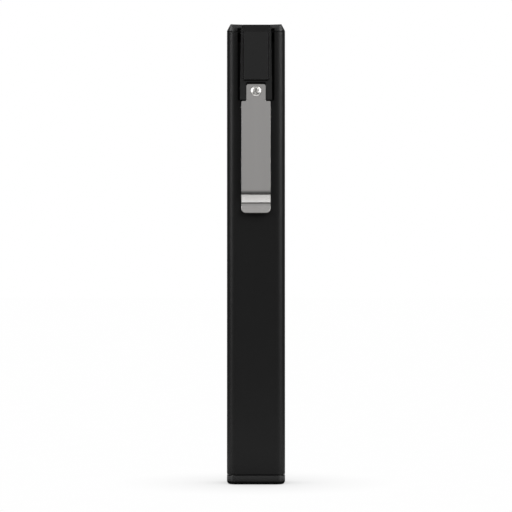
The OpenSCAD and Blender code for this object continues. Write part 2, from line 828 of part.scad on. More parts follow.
module clip_holder() {
  face_w = block_w - 2 * block_draft;
  color(black)
    difference() {
      union() {
        through_y(arm_y, inner_back_y)
          polygon([
            [-holder_w / 2, holder_z0], [holder_w / 2, holder_z0],
            [holder_top_w / 2, holder_z1], [-holder_top_w / 2, holder_z1]
          ]);
        intersection() {
          through_x(-block_w / 2, block_w / 2)
            block_side();
          upright(block_z0, block_z1)
            polygon([
              [-block_w / 2, inner_back_y], [-block_w / 2, arm_y], [-face_w / 2, block_y],
              [face_w / 2, block_y], [block_w / 2, arm_y], [block_w / 2, inner_back_y]
            ]);
        }
      }
      // groove below the block, seat of the clip's tab and the moat round its pad
      block(
        [-face_w / 2, arm_y - over, block_z0 - block_groove_h],
        [face_w / 2, arm_y + block_groove_sink, block_z0]
      );
      through_y(arm_y - over, leaf_in_y)
        seat_outline();
      through_y(leaf_in_y - over, leaf_in_y + seat_moat)
        difference() {
          seat_outline();
          tab_outline();
        }
      translate([0, 0, clip_screw_z])
        rod_y(arm_y - over, inner_back_y + over, screw_r + screw_fit);
      // magnet's pocket, open towards the chassis
      translate([0, 0, magnet_z])
        through_y(magnet_y, inner_back_y + over)
          square([magnet_w + 2 * magnet_fit, magnet_l + 2 * magnet_fit], center = true);
    }
}

module holder_magnet() {
  color(silver)
    translate([0, 0, magnet_z])
      through_y(magnet_y, inner_back_y)
        square([magnet_w, magnet_l], center = true);
}

// Points along an arc between two directions
function arc(centre, r, from, to) =
  [for (i = [0 : bend_steps]) centre + r * [cos(from + (to - from) * i / bend_steps),
                                            sin(from + (to - from) * i / bend_steps)]];

// Side view of the whole clip: down its outer face to the lip and back up its inner face
module clip_side() {
  half = clip_t / 2 * [cos(lip_angle), -sin(lip_angle)];
  lip_end = lip_start - lip_l * [sin(lip_angle), cos(lip_angle)];
  polygon(concat(
    [[leaf_out_y, tab_z1]],
    arc(bend_c, bend_r, 180, 180 + slope_angle),
    arc(touch_c, touch_r, slope_angle, -lip_angle),
    [lip_end - half, lip_end + half],
    arc(touch_c, touch_r + clip_t, -lip_angle, slope_angle),
    arc(bend_c, bend_r - clip_t, 180 + slope_angle, 180),
    [[leaf_in_y, tab_z1]]
  ));
}

// Front view of the clip: tab, neck and leaf
module clip_front() {
  leaf_h = shoulder_z - lip_z0;
  translate([0, lip_z0 + leaf_h / 2])
    difference() {
      square([clip_w, leaf_h], center = true);
      for (s = [-1, 1]) {
        corner_cut(s, -leaf_h / 2, -1, lip_r);
        corner_cut(s, leaf_h / 2, 1, tab_r / 2);
      }
    }
  tab_outline();
}

// What rounding takes off a corner of the leaf
module corner_cut(side, z, up, r) {
  translate([side * clip_w / 2, z])
    difference() {
      square(2 * r, center = true);
      translate([-side * r, -up * r])
        circle(r);
    }
}

module clip_strip() {
  color(steel)
    difference() {
      intersection() {
        through_x(-clip_w / 2, clip_w / 2)
          clip_side();
        through_y(block_y - over, back_y + over)
          clip_front();
      }
      translate([0, 0, clip_screw_z])
        rod_y(leaf_out_y - over, leaf_in_y + over, screw_r + screw_fit);
    }
}

module clip_tab() {
  intersection() {
    clip_strip();
    block([-clip_w, block_y, holder_z0], [clip_w, back_y, tab_z1 + over]);
  }
}

module clip_leaf() {
  intersection() {
    clip_strip();
    block([-clip_w, block_y - over, lip_z0 - over], [clip_w, back_y, holder_z0]);
  }
}

module clip_screw() {
  color(bright)
    translate([0, leaf_out_y, clip_screw_z])
      rotate([-90, 0, 0])
        pan_screw(clip_head_r, clip_head_h, screw_r, clip_screw_l);
}

module clip_insert() {
  color(brass)
    translate([0, 0, clip_screw_z])
      difference() {
        rod_y(chassis_back_y, chassis_back_y + insert_l, insert_r);
        rod_y(chassis_back_y - over, chassis_back_y + insert_l + over, screw_r + screw_fit / 2);
      }
}

module light_window() {
  color(clear)
    translate([0, 0, window_z]) {
      through_y(rim_y + gasket_t, front_y + window_proud)
        rounded(rim_w - 2 * slide_fit, rim_l - 2 * slide_fit, rim_r - slide_fit);
      through_y(window_back_y, rim_y + gasket_t)
        rounded(window_w - 2 * slide_fit, window_l - 2 * slide_fit, window_r - slide_fit);
    }
}

module window_gasket() {
  color(rubber)
    translate([0, 0, window_z])
      difference() {
        through_y(rim_y, rim_y + gasket_t)
          rounded(rim_w - 2 * slide_fit, rim_l - 2 * slide_fit, rim_r - slide_fit);
        through_y(rim_y - over, rim_y + over)
          rounded(window_w, window_l, window_r);
      }
}

module strip_board() {
  color(white)
    block([-strip_w / 2, strip_y0, window_z - strip_l / 2], [strip_w / 2, strip_y1, window_z + strip_l / 2]);
}

module strip_leds() {
  color(yellow)
    for (i = [0 : chip_count - 1])
      translate([0, 0, window_z + (i - (chip_count - 1) / 2) * chip_pitch])
        block([-chip_w / 2, strip_y1, -chip_l / 2], [chip_w / 2, strip_y1 + chip_h, chip_l / 2]);
}

module heat_spreader() {
  color(silver)
    block(
      [-board_reach, spreader_y0, lamp_z0 + board_fit],
      [board_reach, strip_y0, lamp_z1 - board_fit]
    );
}

module spot_lens() {
  rim_z = lens_z1 - spot_rim_h;
  color(clear)
    difference() {
      union() {
        translate([0, 0, rim_z])
          cylinder(h = spot_rim_h, r = spot_fit_r);
        translate([0, 0, lens_z0])
          cylinder(h = rim_z - lens_z0, r1 = spot_lens_r, r2 = spot_hole_r);
      }
      translate([0, 0, lens_z0 - over])
        cylinder(h = over + spot_dome_r, r = spot_dome_r + board_fit);
    }
}

module spot_lens_seal() {
  color(rubber)
    translate([0, 0, lens_z1 + spot_ring_d / 2])
      rotate_extrude()
        translate([spot_r - spot_ring_d / 2 - slide_fit, 0])
          circle(spot_ring_d / 2);
}

module spot_board() {
  color(white)
    translate([0, 0, spot_z0])
      cylinder(h = spot_board_t, r = spot_fit_r);
}

module spot_led() {
  base_z = spot_z0 + spot_board_t;
  color(yellow) {
    block([-spot_led_w / 2, -spot_led_w / 2, base_z], [spot_led_w / 2, spot_led_w / 2, base_z + spot_led_h]);
    intersection() {
      translate([0, 0, base_z + spot_led_h])
        sphere(spot_dome_r);
      translate([0, 0, base_z + spot_led_h / 2])
        cylinder(h = 2 * spot_dome_r, r = spot_led_w / 2);
    }
  }
}

module button() {
  face_y = front_y + button_proud;
  dish_r = (button_r * button_r + button_dish * button_dish) / (2 * button_dish);
  color(black)
    translate([0, 0, button_z])
      difference() {
        union() {
          rod_y(flange_y - button_flange_t, face_y, button_r);
          rod_y(flange_y - button_flange_t, flange_y, button_r + button_flange_w);
          rod_y(plunger_y, flange_y - button_flange_t, button_stem_r);
        }
        translate([0, face_y - button_dish + dish_r, 0])
          sphere(dish_r, $fn = 4 * $fn);
        button_ring(seal_r + button_fit / 3);
      }
}

// Ring round the button, halfway through the tube's wall
module button_ring(r) {
  translate([0, front_y - wall / 2, 0])
    rotate([-90, 0, 0])
      rotate_extrude()
        translate([button_r + seal_reach - seal_r, 0])
          circle(r);
}

module button_seal() {
  color(rubber)
    translate([0, 0, button_z])
      button_ring(seal_r);
}

module switch_body() {
  color(dark)
    translate([0, 0, button_z])
      difference() {
        through_y(board_y1, board_y1 + switch_h)
          rounded(switch_w, switch_w, switch_w / 8);
        rod_y(plunger_foot_y - button_travel - screw_fit, board_y1 + switch_h + over, plunger_bore_r);
      }
}

module switch_plunger() {
  color(white)
    translate([0, 0, button_z])
      rod_y(plunger_foot_y, plunger_y, plunger_r);
}

module main_board() {
  color(green)
    difference() {
      block([-board_reach, board_y0, board_z0], [board_reach, board_y1, board_z1]);
      for (spot = board_screw_spots)
        translate([spot[0] * board_screw_x, 0, spot[1]])
          rod_y(board_y0 - over, board_y1 + over, screw_r + screw_fit);
    }
}

module board_components() {
  part_x = board_reach - part_edge;
  charger_z = port_z;
  driver_z = pipe_z - pipe_r - part_gap - control_side / 2;
  coil_z = pipe_z + pipe_r + part_gap + coil_side / 2;
  cap_z0 = port_z + usb_l / 2 + part_gap + cap_l / 2;
  cap_z1 = pipe_z + pipe_r + part_gap + cap_l / 2;
  color(dark) {
    // charge controller, lamp driver and coil
    for (z = [charger_z, driver_z])
      translate([control_side / 2 - part_x, 0, z])
        through_y(board_y1, board_y1 + control_rise)
          square(control_side, center = true);
    translate([part_x - coil_side / 2, 0, coil_z])
      through_y(board_y1, board_y1 + coil_rise)
        rounded(coil_side, coil_side, coil_side / 6);
    // rows of small capacitors
    for (i = [0 : cap_count - 1], z = [cap_z0, cap_z1])
      translate([cap_w / 2 - part_x + i * (cap_w + part_gap), 0, z])
        through_y(board_y1, board_y1 + control_rise)
          square([cap_w, cap_l], center = true);
  }
}

module board_screws() {
  color(steel)
    for (spot = board_screw_spots)
      translate([spot[0] * board_screw_x, board_y1, spot[1]])
        rotate([90, 0, 0])
          pan_screw(small_head_r, small_head_h, screw_r, board_screw_l);
}

module usb_socket() {
  shell_r = usb_h / 2 - usb_wall / 2;
  color(silver)
    translate([0, 0, port_z])
      difference() {
        through_x(socket_x - usb_depth, socket_x)
          rounded(usb_h, usb_l, shell_r);
        through_x(socket_x - usb_depth + usb_wall, socket_x + over)
          rounded(usb_h - 2 * usb_wall, usb_l - 2 * usb_wall, shell_r - usb_wall);
      }
}

module usb_socket_tongue() {
  back_x = socket_x - usb_depth + usb_wall;
  hollow_h = usb_h - 2 * usb_wall;
  hollow_l = usb_l - 2 * usb_wall;
  color(dark)
    translate([0, 0, port_z]) {
      through_x(back_x, back_x + tongue_back)
        rounded(hollow_h - screw_fit, hollow_l - screw_fit, hollow_h / 2 - screw_fit);
      through_x(back_x + tongue_back, socket_x - tongue_inset)
        square([tongue_t, tongue_w], center = true);
    }
}

module port_cover() {
  plug_l = usb_l - 2 * usb_wall - 2 * plug_fit;
  plug_t = usb_h - 2 * usb_wall - 2 * plug_fit;
  color(rubber) {
    translate([0, 0, port_z]) {
      through_x(cover_x, side_x)
        rounded(port_w - 2 * cover_fit, port_l - 2 * cover_fit, port_r - cover_fit);
      through_x(socket_x - cover_plug, cover_x)
        rounded(plug_t, plug_l, plug_t / 2 - screw_fit);
    }
    block([side_x - strap_t, -strap_w / 2, port_z1 - port_r / 2], [side_x, strap_w / 2, hinge_z]);
  }
}

module port_cover_anchor() {
  head_w = strap_w / 2 + anchor_head;
  head_x = inner_side_x - cover_fit;
  color(rubber) {
    block([head_x, -strap_w / 2, hinge_z], [side_x, strap_w / 2, anchor_z1]);
    block([head_x - anchor_head_t, -head_w, hinge_z], [head_x, head_w, anchor_z1 + anchor_head]);
  }
}

module charge_light_pipe() {
  color(clear)
    translate([0, 0, pipe_z]) {
      rod_y(board_y1 + charge_led_h, front_y, pipe_r);
      rod_y(inner_front_y - button_flange_t, inner_front_y, pipe_r + button_flange_w);
    }
}

module charge_led() {
  color(yellow)
    translate([0, 0, pipe_z])
      through_y(board_y1, board_y1 + charge_led_h)
        square([charge_led_w, charge_led_l], center = true);
}

module battery_cell() {
  cell_w = bay_w - 2 * board_fit;
  cell_t = cell_y2 - cell_y1;
  cell_r = min(battery_r, cell_t / 2 - board_fit);
  color(silver)
    translate([0, (cell_y1 + cell_y2) / 2, 0])
      upright(cell_z0, cell_z1)
        rounded(cell_w, cell_t, cell_r);
}

module battery_pad() {
  pad_z = (cell_z0 + cell_z1) / 2;
  pad_w = bay_w - 2 * battery_r;
  color(dark)
    block([-pad_w / 2, cell_y2, pad_z - pad_l / 2], [pad_w / 2, spreader_y0, pad_z + pad_l / 2]);
}

module battery_board() {
  board_w = bay_w - 2 * battery_r;
  color(green)
    block([-board_w / 2, board_y0, cell_z0 - battery_room / 2], [board_w / 2, board_y1, cell_z0]);
}

module battery_leads() {
  lead_y = board_y1 + lead_r + lead_gap;
  lead_z0 = board_z1 - lead_solder;
  lead_z1 = cell_z0 - 4 * lead_r;
  color("firebrick")
    for (s = [-1, 1])
      wire([[s * lead_inner_x, lead_y, lead_z0], [s * lead_inner_x, lead_y, lead_z1]], lead_r);
}

module strip_leads() {
  lead_y = strip_y1 + lead_r + lead_gap;
  start_y = board_y1 + bend_full * lead_r + lead_gap;
  color("ivory")
    for (s = [-1, 1])
      wire([
        [s * lead_x, start_y, board_z1 - lead_solder],
        [s * lead_x, start_y, board_z1],
        [s * lead_x, lead_y, lamp_z0],
        [s * lead_x, lead_y, lamp_z0 + window_margin + lead_solder]
      ], lead_r);
}

module spot_leads() {
  lead_y = strip_y1 + lead_r + lead_gap;
  lead_z = spot_z0 + spot_board_t + lead_r + lead_gap;
  color("ivory")
    for (s = [-1, 1])
      wire([
        [s * lead_x, lead_y, lamp_z1 - window_margin - lead_solder],
        [s * lead_x, lead_y, lead_z],
        [s * lead_x, spot_lens_r + lead_r, lead_z]
      ], lead_r);
}

body_tube();
top_cap();
bottom_cap();
top_cap_seal();
bottom_cap_seal();
bottom_cap_screws();
chassis();
clip_holder();
holder_magnet();
clip_tab();
clip_leaf();
clip_screw();
clip_insert();
light_window();
window_gasket();
strip_board();
strip_leds();
heat_spreader();
spot_lens();
spot_lens_seal();
spot_board();
spot_led();
button();
button_seal();
switch_body();
switch_plunger();
main_board();
board_components();
board_screws();
usb_socket();
usb_socket_tongue();
port_cover();
port_cover_anchor();
charge_light_pipe();
charge_led();
battery_cell();
battery_pad();
battery_board();
battery_leads();
strip_leads();
spot_leads();
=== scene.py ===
# %% [markdown]
# # A slim penlight with a steel pocket clip
# The penlight is a black aluminium tube with a moulded cap at each end. On its back a plastic holder carries
# a spring steel clip. A strip lamp, a push button and a charge light are on its front, a second lamp is in
# its top, and a rubber cover on one side hides the charging socket.
#
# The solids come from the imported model, which fixes every size, place and joint. This lesson gives them
# their finishes, and models anew the few pieces whose look needs a finer mesh.

# %% Load the frame
import json
import math

import bmesh
import bpy
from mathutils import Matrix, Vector


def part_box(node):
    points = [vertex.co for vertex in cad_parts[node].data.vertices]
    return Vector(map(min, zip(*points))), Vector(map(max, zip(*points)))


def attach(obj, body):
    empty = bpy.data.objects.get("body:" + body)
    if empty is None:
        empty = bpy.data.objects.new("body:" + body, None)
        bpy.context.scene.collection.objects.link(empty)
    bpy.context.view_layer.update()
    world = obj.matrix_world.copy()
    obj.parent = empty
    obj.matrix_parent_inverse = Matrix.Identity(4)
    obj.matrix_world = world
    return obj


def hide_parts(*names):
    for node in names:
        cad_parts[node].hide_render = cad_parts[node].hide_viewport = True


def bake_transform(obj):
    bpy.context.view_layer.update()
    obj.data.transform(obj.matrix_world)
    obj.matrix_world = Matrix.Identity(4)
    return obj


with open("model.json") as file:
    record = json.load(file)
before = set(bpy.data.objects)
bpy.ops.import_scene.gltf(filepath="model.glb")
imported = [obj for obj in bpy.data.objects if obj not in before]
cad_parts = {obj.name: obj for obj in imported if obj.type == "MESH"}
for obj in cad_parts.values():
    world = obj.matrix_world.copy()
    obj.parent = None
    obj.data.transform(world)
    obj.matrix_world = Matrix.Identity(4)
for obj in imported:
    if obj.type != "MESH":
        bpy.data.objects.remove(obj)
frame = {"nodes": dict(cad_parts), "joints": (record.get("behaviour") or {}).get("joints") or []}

MM = 0.001
NODES = frame["nodes"]
SCENE = bpy.context.scene
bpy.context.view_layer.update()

# %% [markdown]
# ## Shader maths as Python
# A finish is a small network of nodes. Linking those by hand is slow to write and hard to read, so one class
# wraps an output socket: adding or multiplying two of these adds the Math node that does it. The other class
# stands for the whole node tree, and its `node` method makes any node from its type, its settings and its
# inputs.

# %% Shader maths
class Value:
    """One output socket of a node tree, on which Python's operators add Math nodes."""

    def __init__(self, shading, socket):
        self.shading = shading
        self.socket = socket

    def output(self, name):
        """Another output of the same node."""
        return Value(self.shading, self.socket.node.outputs[name])

    def math(self, operation, *terms):
        return self.shading.node("ShaderNodeMath", {"operation": operation}, dict(enumerate(terms)))

    def step(self, low, high):
        """A soft step from 0 at low to 1 at high."""
        ends = {"Value": self, "From Min": low, "From Max": high}
        return self.shading.node("ShaderNodeMapRange", {"interpolation_type": "SMOOTHSTEP"}, ends)

    def __add__(self, other):
        return self.math("ADD", self, other)

    def __sub__(self, other):
        return self.math("SUBTRACT", self, other)

    def __rsub__(self, other):
        return self.math("SUBTRACT", other, self)

    def __mul__(self, other):
        return self.math("MULTIPLY", self, other)

    def __abs__(self):
        return self.math("ABSOLUTE", self)

    def __neg__(self):
        return self.math("MULTIPLY", self, -1)

    __radd__ = __add__
    __rmul__ = __mul__


class Shading:
    """The node tree of a material or of the world."""

    def __init__(self, owner):
        owner.use_nodes = True
        self.owner = owner
        self.tree = owner.node_tree

    def fill(self, node, inputs):
        """Gives a node's sockets their values or links."""
        for name, value in inputs.items():
            if isinstance(value, Value):
                self.tree.links.new(value.socket, node.inputs[name])
            else:
                node.inputs[name].default_value = value

    def node(self, kind, settings=None, inputs=None, output=0):
        """Adds a node, sets it up and gives back one of its outputs."""
        made = self.tree.nodes.new(kind)
        for name, value in (settings or {}).items():
            setattr(made, name, value)
        self.fill(made, inputs or {})
        return Value(self, made.outputs[output])

    def mix(self, factor, first, second):
        """A colour between two others."""
        inputs = {0: factor, 6: first, 7: second}
        return self.node("ShaderNodeMix", {"data_type": "RGBA"}, inputs, output=2)


print("shader maths ready")

# %% [markdown]
# ## Camera
# The photograph looks level and straight at the back, from far enough away that the sides don't show. The
# scale of the photograph was read on the back face, so the lens follows from that face's distance.

# %% Camera
PHOTO_SIDE = 512
PHOTO_SCALE = 0.3515 * MM
PHOTO_MIDDLE = 80.4 * MM
CAMERA_DISTANCE = 900 * MM
SENSOR = 36.0

back_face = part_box("body_tube")[0].y
lens = bpy.data.cameras.new("camera")
lens.sensor_width = SENSOR
lens.lens = SENSOR * (CAMERA_DISTANCE + back_face) / (PHOTO_SIDE * PHOTO_SCALE)
camera = bpy.data.objects.new("camera", lens)
camera.location = (0, -CAMERA_DISTANCE, PHOTO_MIDDLE)
camera.rotation_euler = (math.radians(90), 0, 0)
SCENE.collection.objects.link(camera)
SCENE.camera = camera
SCENE.view_settings.view_transform = "Standard"
print("lens in mm:", round(lens.lens, 1))

# %% [markdown]
# ## Studio light
# Black and steel show little but what they reflect, so the light is drawn as what stands round the penlight:
# a dim wall behind the camera, a tall soft light on each side and one overhead towards the camera. Behind the
# penlight and downwards it fades to almost dark, and the bends of the clip mirror that. All of it is one
# smooth function of the direction, which gives no grain. Rays from the camera itself meet plain white.

# %% Directions in the studio
BLACK = (0, 0, 0, 1)
WHITE = (1, 1, 1, 1)

world = bpy.data.worlds.new("studio")
SCENE.world = world
studio = Shading(world)
direction = studio.node("ShaderNodeTexCoord", output="Generated")
toward = studio.node("ShaderNodeSeparateXYZ", inputs={0: direction})
east, north, up = toward, toward.output("Y"), toward.output("Z")
round_degrees = abs(east).math("ARCTAN2", abs(east), -north) * math.degrees(1)
height_degrees = up.math("ARCSINE", up) * math.degrees(1)
print("direction nodes:", len(world.node_tree.nodes))

# %% Studio light
# Brightness of each part
WALL = 0.42
WALL_GAP = 0.1
SIDE_LIGHT = 3.0
SIDE_LOW = 0.5
TOP_LIGHT = 2.3
BEHIND = 0.1
BEHIND_FADE = 0.8
BELOW = 0.05
AMBIENT = 0.35
# Degrees round from the camera between which a part comes or goes
WALL_END = (9, 22)
SIDE_START = (56, 62)
SIDE_END = (72, 80)
TOP_REACH = (70, 110)
BEHIND_START = (80, 105)
# The same in degrees of height, the last one downwards
SIDE_TIP = (50, 70)
SIDE_RISE = (-12, 12)
TOP_START = (59, 63)
TOP_END = (69, 73)
BEHIND_RISE = (-6, 8)
UNDER_START = (-8, 38)

front_wall = WALL - (WALL - WALL_GAP) * round_degrees.step(*WALL_END)
side_lights = round_degrees.step(*SIDE_START) - round_degrees.step(*SIDE_END)
side_lights = side_lights * (1 - abs(height_degrees).step(*SIDE_TIP))
side_lights = side_lights * (SIDE_LOW + (1 - SIDE_LOW) * height_degrees.step(*SIDE_RISE))
top_light = height_degrees.step(*TOP_START) - height_degrees.step(*TOP_END)
top_light = top_light * (1 - round_degrees.step(*TOP_REACH))
behind = round_degrees.step(*BEHIND_START)
under_edge = (-height_degrees).step(*UNDER_START)
glow = front_wall + (SIDE_LIGHT - WALL_GAP) * side_lights + (TOP_LIGHT - WALL) * top_light
glow = glow * (1 - behind) + BEHIND * behind * (1 - BEHIND_FADE * height_degrees.step(*BEHIND_RISE))
glow = glow * (1 - under_edge) + BELOW * under_edge
seen = studio.node("ShaderNodeLightPath", output="Is Camera Ray")
spread = seen.output("Is Diffuse Ray")
glow = glow * (1 - seen - spread) + seen + AMBIENT * spread
studio.fill(world.node_tree.nodes["Background"], {"Strength": glow, "Color": WHITE})
print("studio nodes:", len(world.node_tree.nodes))

# %% [markdown]
# ## Floor
# The penlight stands on white paper that runs to the horizon. The paper glows evenly, and an ambient
# occlusion node paints a faint contact shadow into that glow where the penlight closes it in. In the clip it
# is mirrored too, but there the paper ends a hand's breadth in front of the penlight, so a second, smaller
# sheet is there for reflections alone. Round the penlight's foot that sheet is painted dark, a painted shadow
# in what it mirrors.

# %% Paper
MOTTLE = 0.01
MOTTLE_SCALE = 60.0
MOTTLE_DETAIL = 3.0
PAPER_ROUGHNESS = 0.9


def paper_sheet(name, reach, front, back):
    """A flat sheet under the penlight, reach wide to each side, from front to back, and its finish."""
    mesh = bpy.data.meshes.new(name)
    corners = [(-reach, front), (reach, front), (reach, back), (-reach, back)]
    mesh.from_pydata([(x, y, 0.0) for x, y in corners], [], [(0, 1, 2, 3)])
    sheet = bpy.data.objects.new(name, mesh)
    SCENE.collection.objects.link(sheet)
    finish = Shading(bpy.data.materials.new(name))
    mesh.materials.append(finish.owner)
    return sheet, finish


def paper_glow(finish, light, strength):
    """Makes paper of a finish that glows by that pattern of light."""
    place = finish.node("ShaderNodeTexCoord", output="Object")
    noise = {"Vector": place, "Scale": MOTTLE_SCALE, "Detail": MOTTLE_DETAIL}
    mottle = finish.node("ShaderNodeTexNoise", inputs=noise)
    light = light * ((1 - MOTTLE) + MOTTLE * mottle)
    shade = {"Base Color": BLACK, "Roughness": PAPER_ROUGHNESS, "Specular IOR Level": 0.0}
    glowing = {"Emission Color": finish.mix(light, BLACK, WHITE), "Emission Strength": strength}
    finish.fill(finish.tree.nodes["Principled BSDF"], {**shade, **glowing})


print("paper helpers ready")

# %% Floor, in metres
PAPER_REACH = 4.0
PAPER_GLOW = 1.0
CONTACT_REACH = 0.04
CONTACT_SHADE = 0.55
CONTACT_SAMPLES = 16
MIRRORED_REACH = 0.15
MIRRORED_FRONT = -0.083
MIRRORED_BACK = 0.03
MIRRORED_GLOW = 1.85
SHADE_INNER = 0.02
SHADE_OUTER = 0.045

floor, paper = paper_sheet("floor", PAPER_REACH, -PAPER_REACH, PAPER_REACH)
sampled = {"samples": CONTACT_SAMPLES}
# Ambient occlusion dims the paper's glow near the penlight: a painted contact shadow
openness = paper.node("ShaderNodeAmbientOcclusion", sampled, {"Distance": CONTACT_REACH}, output="AO")
paper_glow(paper, 1 - CONTACT_SHADE * (1 - openness), PAPER_GLOW)
floor.visible_glossy = False
floor.visible_diffuse = False

mirrored_floor, mirrored_paper = paper_sheet("mirrored_floor", MIRRORED_REACH, MIRRORED_FRONT, MIRRORED_BACK)
# Dark within a few centimetres of the penlight's foot: a painted shadow in the floor that the penlight
# mirrors
spot_place = mirrored_paper.node("ShaderNodeTexCoord", output="Object")
away = mirrored_paper.node("ShaderNodeVectorMath", {"operation": "LENGTH"}, {0: spot_place}, output="Value")
paper_glow(mirrored_paper, away.step(SHADE_INNER, SHADE_OUTER), MIRRORED_GLOW)
mirrored_floor.visible_camera = False
mirrored_floor.visible_diffuse = False
mirrored_floor.visible_shadow = False
mirrored_floor.visible_transmission = False
print("floor sheets:", floor.name, mirrored_floor.name)

# %% [markdown]
# ## Lamps
# Two soft lamps stand in front, above to the right and, weaker, above to the left. They light what isn't
# shiny, and throw the shadows beside the clip and under its lip. They are kept out of reflections, which the
# studio draws. A strip light stands close to each side, with its lower end well above the floor. Only its
# reflection counts: it makes the bright line along each long edge of the tube, which fades downwards. A wide
# panel behind lights the lamp side, which the photograph doesn't show.

# %% Lamps, in metres and watts
LAMP_PLACE = Vector((0.55, -0.6, 0.65))
LAMP_SIZE = (0.5, 0.5)
LAMP_POWERS = {"lamp_right": 7.0, "lamp_left": 3.0}
LAMP_SIDES = {"lamp_right": 1, "lamp_left": -1, "strip_right": 1, "strip_left": -1, "front_panel": 1}
STRIP_PLACE = Vector((0.274, -0.122, 0.34))
STRIP_SIZE = (0.085, 0.5)
STRIP_POWERS = {"strip_right": 1.0, "strip_left": 1.0}
PANEL_PLACE = Vector((0, 0.9, 0.4))
PANEL_SIZE = (1.0, 0.76)
PANEL_POWER = 2.5


def add_lamp(name, power, place, size, target):
    """An area lamp of that width and height, on the side that its name says, that faces a target."""
    light = bpy.data.lights.new(name, "AREA")
    light.shape = "RECTANGLE"
    light.size, light.size_y = size
    light.energy = power
    lamp = bpy.data.objects.new(name, light)
    lamp.location = place * Vector((LAMP_SIDES[name], 1, 1))
    lamp.rotation_euler = (target - lamp.location).to_track_quat("-Z", "Y").to_euler()
    SCENE.collection.objects.link(lamp)
    return lamp


for lamp_name, watts in LAMP_POWERS.items():
    soft_lamp = add_lamp(lamp_name, watts, LAMP_PLACE, LAMP_SIZE, Vector((0, 0, PHOTO_MIDDLE)))
    soft_lamp.visible_glossy = False
for lamp_name, watts in STRIP_POWERS.items():
    strip_lamp = add_lamp(lamp_name, watts, STRIP_PLACE, STRIP_SIZE, Vector((0, 0, STRIP_PLACE.z)))
    strip_lamp.visible_diffuse = False
    strip_lamp.visible_camera = False
panel = add_lamp("front_panel", PANEL_POWER, PANEL_PLACE, PANEL_SIZE, Vector((0, 0, PANEL_PLACE.z)))
panel.visible_camera = False
print("lamps in watts:", LAMP_POWERS, STRIP_POWERS, PANEL_POWER)

# %% [markdown]
# ## Finishes
# Every finish starts from the same place: object coordinates, which are metres on the penlight, so the scale
# of a noise is worked out from the size of the grain in millimetres. Stretching the coordinates turns that
# grain into lines, as a die leaves on an extruded tube and a belt on brushed steel.

# %% Base of a finish
class Finish(Shading):
    """A material with one main shader, whose patterns are sized in millimetres."""

    def __init__(self, name):
        super().__init__(bpy.data.materials.new(name))
        self.shader = self.tree.nodes["Principled BSDF"]
        self.place = self.node("ShaderNodeTexCoord", output="Object")

    def grain(self, size, detail=2.0, stretch=(1, 1, 1)):
        """Noise whose grains are about size metres across."""
        settings = {"operation": "MULTIPLY"}
        spot = self.node("ShaderNodeVectorMath", settings, {0: self.place, 1: stretch})
        return self.node("ShaderNodeTexNoise", inputs={"Vector": spot, "Scale": 1 / size, "Detail": detail})

    def bump(self, height, depth):
        """A normal that follows a height pattern of that depth in metres."""
        return self.node("ShaderNodeBump", inputs={"Height": height, "Distance": depth, "Strength": 1.0})

    def set(self, **inputs):
        """Fills the shader's sockets; an underscore stands for a space."""
        self.fill(self.shader, {name.replace("_", " "): value for name, value in inputs.items()})


def grey(level, warmth=0.0):
    """A grey of that brightness, a little redder or bluer with warmth."""
    return (level * (1 + warmth), level, level * (1 - warmth), 1)


FINISHES = {}


def keep(slot, finish):
    """Files a finish under the record's slot that it belongs to."""
    FINISHES[slot] = finish.owner
    return finish


print("finish base ready")

# %% [markdown]
# ### Anodised tube
# The tube is extruded, blasted and anodised black. Hardly any light comes back from under the oxide, and what
# shows is its soft shine. Fine blast grain breaks the shine up, and faint lines from the die run along the
# tube.

# %% Anodised tube
TUBE_BLACKS = (grey(0.0072), grey(0.0098))
TUBE_ROUGHNESS = 0.36
TUBE_SPECULAR = 0.15
BLAST_GRAIN = 0.09 * MM
BLAST_DEPTH = 0.0025 * MM
DIE_LINE = 0.25 * MM
DIE_STRETCH = (1, 1, 0.01)
CLOUD = 9 * MM

anodised = Finish("anodised_black")
blast = anodised.grain(BLAST_GRAIN)
die_lines = anodised.grain(DIE_LINE, stretch=DIE_STRETCH)
cloud = anodised.grain(CLOUD)
anodised.set(
    Base_Color=anodised.mix(blast * 0.6 + cloud * 0.4, *TUBE_BLACKS),
    Roughness=TUBE_ROUGHNESS + 0.05 * blast + 0.05 * die_lines + 0.03 * cloud,
    Specular_IOR_Level=TUBE_SPECULAR,
    Normal=anodised.bump(blast + 0.4 * die_lines, BLAST_DEPTH),
)
keep("anodised_black", anodised)
print("anodised nodes:", len(anodised.tree.nodes))

# %% [markdown]
# ### Moulded plastics
# Caps, holder and button come from spark-eroded moulds, whose tiny craters make a dull, slightly lighter
# black. One function makes all the plastics. They differ in colour, in shine and in the depth of that
# texture.

# %% Moulded plastics
CRATER_DETAIL = 3.0
FLOW_MARK = 6 * MM
CAP_BLACKS = (grey(0.005), grey(0.008))


def moulded(slot, dark, light, roughness, crater=0.16 * MM, depth=5e-6, specular=0.5):
    """An opaque moulded plastic between two colours."""
    finish = Finish(slot)
    craters = finish.grain(crater, detail=CRATER_DETAIL)
    flow = finish.grain(FLOW_MARK)
    finish.set(
        Base_Color=finish.mix(craters * 0.5 + flow * 0.5, dark, light),
        Roughness=roughness - 0.05 + 0.06 * craters + 0.04 * flow,
        Specular_IOR_Level=specular,
        Normal=finish.bump(craters, depth),
    )
    return keep(slot, finish)


